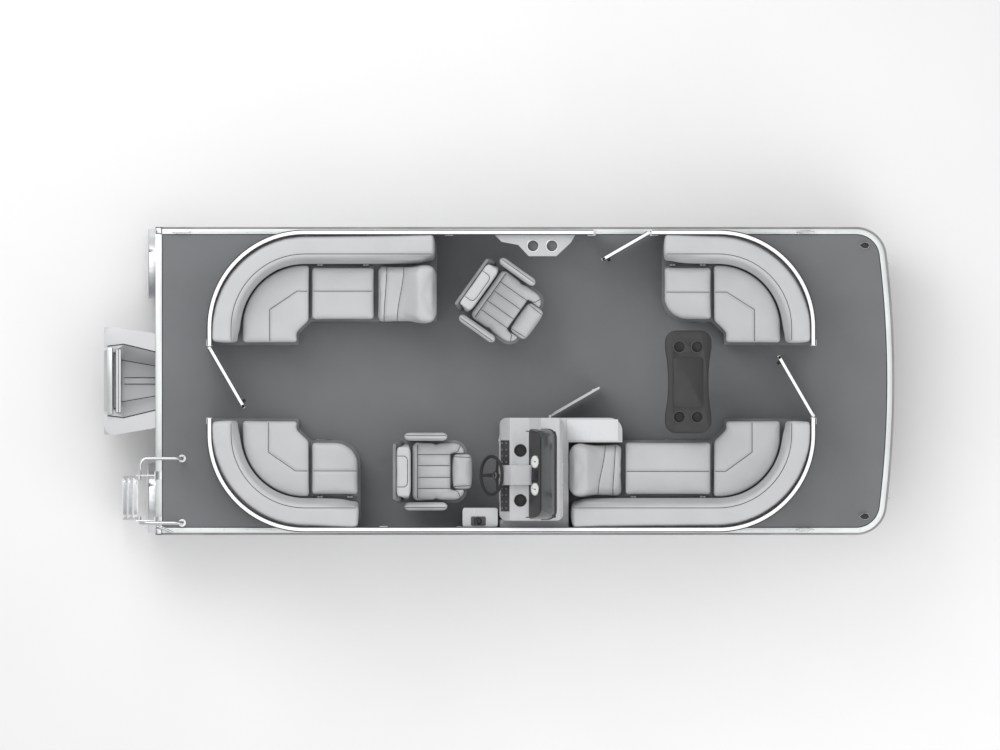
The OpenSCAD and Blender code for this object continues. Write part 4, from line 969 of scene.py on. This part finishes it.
def fences():
    low = DECK_Z + 0.025
    middle = (low + FENCE_TOP) / 2
    for name, (end, side, side_l, end_l) in FENCES.items():
        path = corner_path(end, side, side_l, end_l)
        frame_shape = Shape()
        frame_shape.sweep(path, rail_profile(FENCE_TOP - RAIL, FENCE_TOP), "fence")
        frame_shape.sweep(path, rail_profile(low, low + RAIL), "fence")
        frame_shape.sweep(path, rail_profile(middle - 0.010, middle + 0.010, 0.0095, 0.003), "fence")
        bays = math.ceil((side_l - FENCE_R) / POST_PITCH)
        marks = [side_l - RAIL] + [FENCE_R + i * (side_l - FENCE_R - RAIL) / bays for i in range(bays)]
        for u in marks:
            fence_box(frame_shape, end, side, u, u + RAIL, -RAIL / 2, RAIL / 2, TRIM_Z + 0.0005,
                FENCE_TOP - 0.003, "fence", 0.004)
            fence_box(frame_shape, end, side, u - 0.018, u + RAIL + 0.018, -0.024, 0.03, TRIM_Z
                + 0.0005, TRIM_Z + 0.006, "fence", 0.002)
        fence_box(frame_shape, end, side, -RAIL / 2, RAIL / 2, end_l - RAIL, end_l, DECK_Z,
            FENCE_TOP - 0.003, "fence", 0.004)
        fence_box(frame_shape, end, side, -0.026, 0.026, end_l - RAIL - 0.016, end_l + 0.004, DECK_Z,
            DECK_Z + 0.006, "fence", 0.002)
        frame_shape.make(name + "_rails", HULL, (name + "_fence",))

        skin = Shape()
        skin.sweep(path, panel_profile(low + RAIL - 0.002, FENCE_TOP - RAIL + 0.002), "panel")
        skin.make(name + "_panel", HULL)

        edge = Shape()
        for u in (-0.0178, 0.0178):
            corners = [(u + du, FENCE_TOP + dz) for du,
                dz in ((-0.0042, -0.026), (0.0042, -0.026), (0.0042, -0.0005), (-0.0042, -0.0005))]
            edge.sweep(path, edge_profile(corners, 0.002), "black")
        edge.make(name + "_rail_edging", HULL)


# Each gate's hinge axis, the way it faces when shut, and its length
GATES = {
    "stern_gate": ((STERN_FENCE_X, 0.2805), 90, 0.583),
    "bow_gate": ((BOW_FENCE_X, -0.2945), -90, 0.583),
    "side_gate": ((fore(4.155), FENCE_Y), 0, 0.460),
}
OPEN = 30


def gates():
    z0, z1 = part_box("stern_gate")[0].z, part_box("stern_gate")[1].z
    middle = (z0 + z1) / 2
    for name, (axis, shut, length) in GATES.items():
        place = moved(*axis, 0) @ spun(shut + OPEN)
        gate = Shape()
        gate.lathe(place @ moved(0, 0, z0),
            [(0.0125, 0), (0.014, 0.0015), (0.014, z1 - z0 - 0.0015), (0.0125, z1 - z0)], "fence", 24)
        for a, b in ((z0, z0 + 0.03), (z1 - 0.034, z1 - 0.004), (middle - 0.01, middle + 0.01)):
            gate.box((-length, -0.013, a), (-0.002, 0.013, b), "fence", 0.003, tilt=place)
        gate.box((-length, -0.013, z0), (0.03 - length, 0.013, z1 - 0.004), "fence", 0.003, tilt=place)
        skin = panel_profile(z0 + 0.028, z1 - 0.036, -0.012, 0.003)
        gate.loft([[place @ Vector((x, u, z)) for u, z in skin] for x in (0.028 - length, -0.01)],
            "panel")
        gate.make(name + "_leaf", name, (name,))
        trim = Shape()
        for s in (-1, 1):
            trim.box((-length + 0.001, s * 0.0148 - 0.0035, z1 - 0.03),
                (-0.014, s * 0.0148 + 0.0035, z1 - 0.0045), "black", 0.0015, tilt=place)
        trim.box((-length - 0.003, -0.011, middle - 0.05), (-length + 0.004, 0.011, middle + 0.05),
            "steel", 0.002, tilt=place)
        trim.lathe(place @ moved(-length + 0.05, -0.013, z1 - 0.09) @ spun(90, "X"),
                   [(0.02, 0), (0.02, 0.006), (0.012, 0.012), (0.012, 0.022), (0.017, 0.028),
                   (0, 0.03)], "black", 24)
        trim.make(name + "_latch", name)

    # The plates and pins that the gates hang on, fixed to the fences' end posts
    hangers = Shape()
    for axis, shut, _ in GATES.values():
        place = moved(*axis, 0) @ spun(shut)
        for z in (z0 - 0.0063, z1 + 0.0003):
            hangers.lathe(place @ moved(0, 0, z),
                [(0.0135, 0), (0.014, 0.0005), (0.014, 0.0055), (0.0135, 0.006)], "steel", 24)
            hangers.box((0, -0.0138, z), (0.022, 0.0138, z + 0.006), "steel", 0.001, tilt=place)
    hangers.make("gate_hinge_plates", HULL)


# ---------------------------------------------------------------- lounges

def plan(*points):
    """Points given as distances forward of the deck's stern edge and to port of the middle."""
    return [(fore(x), y) for x, y in points]


LOUNGES = {
    # name: end, side, length along the side, length along the end
    "port_aft": (-1, 1, 1.906, 0.9375),
    "starboard_aft": (-1, -1, 1.262, 0.9235),
    "port_bow": (1, 1, 1.265, 0.9375),
    "starboard_bow": (1, -1, 2.047, 0.9235),
}
SEAT_SEAMS = {
    "port_aft_corner": plan((0.960, 0.335), (0.960, 0.600), (1.190, 0.755), (1.288, 0.755)),
    "port_aft_seat": plan((1.318, 0.755), (1.834, 0.755)),
    "starboard_aft_corner": plan((0.949, -0.350), (0.949, -0.600), (1.177, -0.757), (1.288, -0.757)),
    "starboard_aft_seat": plan((1.318, -0.757), (1.690, -0.757)),
    "port_bow_corner": plan((5.037, 0.335), (5.037, 0.600), (4.806, 0.747), (4.697, 0.747)),
    "port_bow_seat": plan((4.667, 0.747), (4.295, 0.747)),
    "starboard_bow_corner": plan((5.017, -0.350), (5.017, -0.600), (4.795, -0.760), (4.697, -0.760)),
    "starboard_bow_seat": plan((4.667, -0.760), (3.955, -0.760)),
}


def lounges():
    cushions = {}
    for name in LOUNGES:
        shaped(name + "_base", "grey", bevel=0.006, smooth=35)
        dress(name + "_lid", "shell")
        body = name + "_lid"
        for kind, rides, *puffing in (
            ("_seat", body, 0.0025, 0.018, 0.015, 0.010),
            ("_corner", HULL, 0.0025, 0.018, 0.015, 0.010),
            ("_back", HULL, 0.008, 0.034, 0.021, 0.014),
        ):
            cushions[name + kind] = (cushion(name + kind + "_pad", name + kind, None, *puffing), rides)
    for node in ("port_aft_chaise", "starboard_bow_chaise"):
        cushions[node] = (cushion(node + "_pad", node, None, 0.007, 0.04, 0.017, 0.016), HULL)
    return cushions


def lounge_seams(cushions):
    for node, line in SEAT_SEAMS.items():
        made, body = cushions[node]
        seams(made, [line], body)
    for name, (end, side, side_l, end_l) in LOUNGES.items():
        made, body = cushions[name + "_back"]
        welt = [p for p, n in corner_path(end, side, side_l - 0.03, end_l - 0.03, 0.182, steps=16)]
        seams(made, [welt], body, depth=0.004)
    # Sewn pillow channels across the two chaises, each in a gentle S
    for node, ends, y0, y1 in (
        ("port_aft_chaise", ((1.945, 1.922), (2.088, 2.032)), 0.955, 0.505),
        ("starboard_bow_chaise", ((3.782, 3.722), (3.866, 3.846)), -0.545, -0.955),
    ):
        made, body = cushions[node]
        lines = []
        for x0, x1 in ends:
            ts = [k / 11 for k in range(12)]
            lines.append([(fore(x0 + (x1 - x0) * t * t * (3 - 2 * t)), y0 + (y1 - y0) * t) for t in ts])
        seams(made, lines, body)
    # Front bands, kick strips and vents on the bases. The dark rubber kick strip at each base's foot is a
    # real strip and also painted shade for the kick shadow under the seat fronts
    for name, (end, side, side_l, end_l) in LOUNGES.items():
        trim = Shape()
        reach_v = 0.752
        u0, u1 = 0.87, side_l - (0.25 if name in ("starboard_aft", "port_bow") else 0.02)
        if name == "starboard_bow":
            u1 = 1.55

        def front(a, b, out, z0, z1, key, bevel, back=0.003):
            spot = (a, b, reach_v - back, reach_v + out, DECK_Z + z0, DECK_Z + z1)
            fence_box(trim, end, side, *spot, key, bevel)

        # Dark rubber kick strip: a real strip, and also painted shade standing in for the kick shadow along
        # the base's foot
        front(u0, u1, 0.0035, 0.002, 0.055, "rubber", 0.0015)
        for z in (0.085, 0.262):
            front(u0 + 0.03, u1 - 0.03, 0.003, z, z + 0.003, "black", 0.0006)
        for k in range(6):
            front(u0 + 0.06, u0 + 0.16, 0.0045, 0.12 + k * 0.016, 0.126 + k * 0.016, "black", 0.001)
        middle = (u0 + u1) / 2
        front(middle - 0.04, middle + 0.04, 0.004, 0.225, 0.25, "steel", 0.0015, back=0.002)
        trim.make(name + "_base_trim", HULL)


# ---------------------------------------------------------------- helm

WHEEL_PLACE = moved(fore(2.826), -0.7945, DECK_Z + 0.790) @ spun(-56, "Y")


def slope(x0, h0, x1, h1, y=0.0):
    """A frame lying on a dash slope: local x runs up the slope and local z stands off it."""
    a, b = Vector((fore(x0), y, DECK_Z + h0)), Vector((fore(x1), y, DECK_Z + h1))
    x = (b - a).normalized()
    y_axis = Vector((0, 1, 0))
    z = x.cross(y_axis)
    turned = Matrix((x, y_axis, z)).transposed().to_4x4()
    return Matrix.Translation(a) @ turned


def cup_holder(shape, x, y, top, r=0.045, deep=0.055, rim="chrome", well="black"):
    place = moved(x, y, top)
    shape.lathe(place, [(r - 0.0005, -deep), (r - 0.0005, 0.0), (r + 0.001, 0.003),
        (r + 0.004, 0.004), (r + 0.008, 0.0025), (r + 0.0085, 0.0),
                        (r + 0.001, -0.0006), (r + 0.0004, -deep)], rim, 40)
    shape.lathe(place, [(0.0, -deep), (r - 0.0008, -deep), (r - 0.0008, -deep + 0.003),
        (0, -deep + 0.003)], well, 40)


def gauge(shape, place):
    shape.lathe(place, [(0.058, 0), (0.058, 0.005), (0.055, 0.009), (0.0515, 0.009), (0.0505, 0.006),
        (0.0505, 0)], "chrome", 48)
    shape.lathe(place, [(0.0508, 0.001), (0.0508, 0.004), (0, 0.004)], "dial", 48)
    for k in range(25):
        a = math.radians(-225 + k * 270 / 24)
        long = k % 4 == 0
        tick = place @ Matrix.Rotation(a, 4, "Z")
        shape.box((0.040 if long else 0.043, -0.0007, 0.004), (0.048, 0.0007, 0.0046), "black", 0,
            tilt=tick)
    needle = place @ spun(-190)
    shape.box((-0.010, -0.0011, 0.0048), (0.040, 0.0011, 0.0058), "red_lens", 0.0003, tilt=needle)
    shape.lathe(place, [(0.006, 0.004), (0.006, 0.0066), (0.003, 0.0078), (0, 0.0078)], "black", 20)


def helm():
    shaped("helm_console", "gelcoat", bevel=0.007, smooth=35)
    shaped("helm_dash", "gelcoat", bevel=0.007, smooth=35)
    shaped("console_door", "gelcoat", bevel=0.003, smooth=35)
    shaped("windscreen", "screen", bevel=0.0012, smooth=35)
    shaped("helm_pedestal", "black", bevel=0.002, smooth=35)
    shaped("mate_pedestal", "black", bevel=0.002, smooth=35)

    # Switch panels on the aft slope
    low = slope(2.904, 0.700, 2.980, 0.800)
    switches = Shape()
    for y0, y1 in ((-0.708, -0.499), (-1.097, -0.879)):
        switches.box((0.004, y0, 0.0), (0.121, y1, 0.006), "dash_dark", 0.004, tilt=low)
        for row in range(2):
            for k in range(4):
                y = y0 + (y1 - y0) * (k + 0.5) / 4
                x = 0.034 + row * 0.056
                switches.box((x - 0.017, y - 0.0115, 0.005), (x + 0.017, y + 0.0115, 0.009), "black",
                    0.002, tilt=low)
                switches.box((x - 0.013, y - 0.0085, 0.008), (x + 0.012, y + 0.0085, 0.0125), "grey",
                    0.002, tilt=low)
    switches.make("switch_panels", HULL)

    # Gauge panel on the fore slope, with two gauges and a display
    high = slope(3.141, 0.800, 3.242, 0.925)
    panel = Shape()
    outline = rounded((0.004, -1.160), (0.158, -0.405), 0.03)
    faces = panel.loft([[high @ Vector((x, y, h)) for x, y in outline] for h in (0.0, 0.006)],
        "dash_dark")
    panel.soften(faces, 0.002)
    for y in (-0.679, -0.911):
        gauge(panel, high @ moved(0.094, y, 0.006))
    panel.box((0.040, -0.846, 0.005), (0.128, -0.748, 0.012), "black", 0.004, tilt=high)
    panel.box((0.048, -0.838, 0.012), (0.120, -0.756, 0.0128), "glass", 0.0003, tilt=high)
    panel.make("gauge_panel", HULL)

    # Anti-glare top, cup holders, column cover and console seams
    top = Shape()
    top.box((fore(3.247), -1.150, DECK_Z + 0.9245), (fore(3.366), -0.425, DECK_Z + 0.9285), "rubber",
        0.0015)
    top.make("anti_glare_mat", HULL)
    cups = Shape()
    for y in (-0.5845, -1.0045):
        cup_holder(cups, fore(3.068), y, DECK_Z + 0.8, rim="black")
    cups.make("helm_cup_holders", HULL)
    cover = Shape()
    section = edge_profile([(fore(2.912), DECK_Z + 0.690), (fore(2.930), DECK_Z + 0.812),
        (fore(2.985), DECK_Z + 0.852), (fore(3.150), DECK_Z + 0.852), (fore(3.172), DECK_Z + 0.838),
        (fore(3.12), DECK_Z + 0.79), (fore(2.97), DECK_Z + 0.76)], 0.018, 4)
    faces = cover.loft([[(x, y, z) for x, z in section] for y in (-0.875, -0.708)], "gelcoat")
    cover.soften(faces, 0.010, 3, 50)
    cover.make("column_cover", HULL)

    panels = Shape()
    lo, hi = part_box("helm_console")
    panels.box((lo.x - 0.0015, -1.10, lo.z + 0.10), (lo.x + 0.004, -0.38, lo.z + 0.103), "black",
        0.0005)
    panels.box((lo.x - 0.003, -1.02, lo.z + 0.16), (lo.x + 0.004, -0.46, lo.z + 0.44), "panel", 0.003)
    panels.lathe(at((lo.x - 0.003, -0.50, lo.z + 0.30), (-1, 0, 0)),
        [(0.02, 0), (0.02, 0.004), (0.013, 0.007), (0, 0.007)], "chrome", 28)
    panels.box((fore(3.46), -0.503, lo.z + 0.5595), (hi.x - 0.035, -0.323, lo.z + 0.5655), "panel",
        0.003)
    panels.make("console_panels", HULL)

    door = Shape()
    place = moved(fore(3.317), -0.296, DECK_Z + 0.050) @ spun(30)
    door.box((0.045, 0.0085, 0.04), (0.455, 0.0115, 0.44), "panel", 0.003, tilt=place)
    door.lathe(place @ moved(0.425, 0.0115, 0.24) @ spun(-90, "X"),
        [(0.018, 0), (0.018, 0.004), (0.011, 0.007), (0, 0.007)], "chrome", 24)
    door.make("door_inset", "console_door")

    wheel()
    throttle()
    screen_trim()


def wheel():
    shape = Shape()
    rim_r, tube_r = 0.160, 0.0138
    rings = []
    for k in range(72):
        a = 2 * math.pi * k / 72
        grip = tube_r * (0.94 + 0.06 * abs(math.sin(a * 6)))
        ring = []
        for j in range(16):
            b = 2 * math.pi * j / 16
            r = rim_r + grip * math.cos(b)
            ring.append(WHEEL_PLACE @ Vector((r * math.cos(a), r * math.sin(a), grip * math.sin(b))))
        rings.append(ring)
    shape.loft(rings, "rubber", closed=True)
    for a in (60, 180, 300):
        turn = WHEEL_PLACE @ spun(a)
        rings = []
        for k in range(9):
            t = k / 8
            r = 0.026 + (rim_r - 0.026) * t
            h = -0.040 + 0.040 * t ** 1.5
            half = 0.019 - 0.008 * t
            section = ((-1, -0.002), (-1, 0.002), (-0.5, 0.004), (0.5, 0.004), (1, 0.002), (1, -0.002))
            rings.append([turn @ Vector((r, half * y, h + z)) for y, z in section])
        shape.loft(rings, "rubber")
    shape.lathe(WHEEL_PLACE,
        [(0.030, -0.056), (0.036, -0.054), (0.038, -0.045), (0.037, -0.038), (0.033, -0.033),
        (0.024, -0.030), (0.010, -0.0288), (0, -0.0286)], "black", 40)
    shape.lathe(WHEEL_PLACE,
        [(0.027, -0.0305), (0.0275, -0.0285), (0.025, -0.0272), (0.0245, -0.030)], "chrome", 40)
    shape.lathe(WHEEL_PLACE, [(0.0098, -0.178), (0.0098, -0.05), (0, -0.05)], "steel", 24)
    shape.make("wheel", "steering_wheel", ("steering_wheel",), smooth=45)


def throttle():
    shape = Shape()
    lo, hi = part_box("throttle_box")
    z = DECK_Z + 0.640
    outline = rounded((lo.x, lo.y), (hi.x, hi.y), 0.024)
    faces = shape.loft([[(x, y, h) for x, y in outline] for h in (DECK_Z, z)], "gelcoat")
    shape.soften(faces, 0.006, 3, 50)
    shape.prism(rounded((fore(2.653), -1.216), (fore(2.777), -1.140), 0.012), z - 0.001, z + 0.010,
        "dash_dark", 0.004)
    base = moved(fore(2.715), -1.178, z + 0.010)
    shape.lathe(base, [(0.030, 0), (0.029, 0.010), (0.022, 0.018), (0.012, 0.022), (0, 0.022)],
        "black", 32)
    foot, head = Vector((fore(2.715), -1.178, z + 0.020)), Vector((fore(2.694), -1.178, z + 0.112))
    way = head - foot
    shape.lathe(at(foot, way), [(0.0085, 0), (0.0065, way.length * 0.5), (0.0075, way.length)],
        "chrome", 20)
    shape.lathe(at(head - Vector((0, 0.030, 0)), (0, 1, 0)),
        [(0, 0), (0.011, 0.002), (0.0155, 0.010), (0.016, 0.030), (0.0155, 0.050), (0.011, 0.058),
        (0, 0.060)], "black", 28)
    shape.box((lo.x - 0.002, lo.y + 0.03, DECK_Z + 0.10), (lo.x + 0.003, hi.y - 0.03, DECK_Z + 0.52),
        "panel", 0.003)
    shape.make("throttle_console", HULL, ("throttle_box",))


def screen_trim():
    """The windscreen's rubber foot and its rolled top edge."""
    lo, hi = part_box("windscreen")
    shape = Shape()
    r, back = 0.07, hi.x - 0.128
    outline = [(back, lo.y), (hi.x - r, lo.y)] + arc((hi.x - r, lo.y + r), r, 270, 360, 8)[1:]
    outline += arc((hi.x - r, hi.y - r), r, 0, 90, 8) + [(back, hi.y)]
    lean, narrow, middle = 0.125, 0.015, (lo.y + hi.y) / 2
    foot, rim = [], []
    for x, y in outline:
        inboard = 1 if y < middle else -1
        foot.append((x - 0.003, y + inboard * 0.003, lo.z + 0.004))
        rim.append((x - 0.003 - lean, y + inboard * (0.003 + narrow), hi.z - 0.004))
    shape.tube(foot, 0.006, "rubber", 10)
    shape.tube(rim, 0.0048, "black", 10)
    shape.make("screen_edging", HULL)


# ---------------------------------------------------------------- chairs

CHAIRS = {
    "helm_chair": moved(fore(2.308), -0.762, DECK_Z),
    "mate_chair": moved(fore(2.902), 0.659, DECK_Z) @ spun(-35.5),
}


def box_round(points):
    return [Vector([pick(p[k] for p in points) for k in range(3)]) for pick in (min, max)]


def chair_part(place, kind):
    """Picks a chair cushion among the node's solids by where it lies."""
    back = place.inverted()

    def pick(groups):
        for group in groups:
            lo, hi = box_round([back @ v.co for v in group])
            c = (lo + hi) / 2
            if abs(c.y) > 0.25:
                here = "port_arm" if c.y > 0 else "starboard_arm"
            elif c.x > 0.2:
                here = "bolster"
            elif c.z > 0.6:
                here = "back"
            else:
                here = "seat"
            if here == kind:
                return group
        raise ValueError(kind)

    return pick


def chairs():
    made = {}
    for name, place in CHAIRS.items():
        shaped(name + "_frame", "shell", bevel=0.005, smooth=38)
        for kind, round_r, voxel in (
            ("seat", 0.030, 0.013),
            ("bolster", 0.034, 0.012),
            ("back", 0.032, 0.014),
            ("port_arm", 0.022, 0.010),
            ("starboard_arm", 0.022, 0.010),
        ):
            pick = chair_part(place, kind)
            made[name, kind] = cushion(
                name + "_" + kind, name + "_cushions", pick, 0.004, round_r, voxel, 0.010, settle=False
            )
    return made


def chair_seams(made):
    for name, place in CHAIRS.items():
        def line(*points):
            return [tuple((place @ Vector((x, y, 0)))[:2]) for x, y in points]
        seams(made[name, "seat"], [line((-0.105, y), (0.180, y)) for y in (-0.050, 0.050)]
              + [line((-0.105, s * 0.142), (0.180, s * 0.142), (0.235, s * 0.170),
              (0.255, s * 0.215)) for s in (-1, 1)]
              + [line((-0.105, -0.225), (-0.105, 0.225))], name, depth=0.008)
        seams(made[name, "bolster"], [line((0.205, s * 0.125), (0.338, s * 0.118)) for s in (-1, 1)],
            name, depth=0.004)
        for arm, y in (("port_arm", 0.302), ("starboard_arm", -0.302)):
            seams(made[name, arm], [line((-0.215, y), (0.145, y))], name, depth=0.002)
        head = [(-0.275, -0.130), (-0.215, -0.130), (-0.195, -0.116), (-0.188, -0.085),
            (-0.188, 0.085), (-0.195, 0.116), (-0.215, 0.130), (-0.275, 0.130)]
        seams(made[name, "back"], [line(*head)], name, depth=0.005)


# ---------------------------------------------------------------- tables

def table_edge(grow):
    """The cocktail table's waisted outline, about its middle."""
    half_w, half_l, waist, bow_r = 0.191 + grow, 0.428 + grow, 0.026, 1.5
    points = []
    for cx, cy, start in ((half_w - 0.09, half_l - 0.09, 0), (0.09 - half_w, half_l - 0.09, 90),
            (0.09 - half_w, 0.09 - half_l, 180), (half_w - 0.09, 0.09 - half_l, 270)):
        points += arc((cx, cy), 0.09, start, start + 90, 8)
    out = []
    for k, (px, py) in enumerate(points):
        qx, qy = points[(k + 1) % len(points)]
        steps = max(1, round(math.hypot(qx - px, qy - py) / 0.03))
        for j in range(steps):
            x, y = px + (qx - px) * j / steps, py + (qy - py) * j / steps
            inner = half_w - waist + bow_r - math.sqrt(max(0, bow_r ** 2 - y * y))
            out.append((max(-inner, min(inner, x)), y))
    return out


def tables():
    shaped("cocktail_table", "table", bevel=0.005, smooth=35)
    shaped("side_table", "gelcoat", bevel=0.004, smooth=35)
    shaped("table_pedestal", "steel", bevel=0.0015, smooth=35)
    fittings = Shape()
    x, y = fore(4.480), -0.008
    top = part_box("cocktail_table")[1].z
    for dx in (-0.075, 0.075):
        for dy in (-0.295, 0.295):
            cup_holder(fittings, x + dx, y + dy, top, rim="dash_dark")
    for grow, lift, key in ((0, 0.0022, "black"), (-0.007, 0.0030, "table")):
        outline = rounded((x - 0.128 - grow, y - 0.222 - grow), (x + 0.128 + grow, y + 0.208 + grow),
            0.03)
        faces = fittings.loft([[(px, py, h) for px, py in outline]
            for h in (top - 0.001, top + lift)], key)
        fittings.soften(faces, 0.001)
    edge = [(x + px, y + py, top - 0.004) for px, py in table_edge(0.0)]
    fittings.tube(edge, 0.0045, "black", 8, closed=True)
    fittings.make("cocktail_table_fittings", HULL)
    side = Shape()
    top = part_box("side_table")[1].z
    for dx in (3.175, 3.334):
        cup_holder(side, fore(dx), 1.1365, top, rim="steel", well="grey")
    side.make("side_table_fittings", HULL)


# ---------------------------------------------------------------- the boat

camera_and_light()
pontoons()
deck_edge()
motor_pod()
deck_fittings()
ladder()
fences()
gates()
lounge_cushions = lounges()
chair_pads = chairs()
puff()
lounge_seams(lounge_cushions)
chair_seams(chair_pads)
helm()
tables()
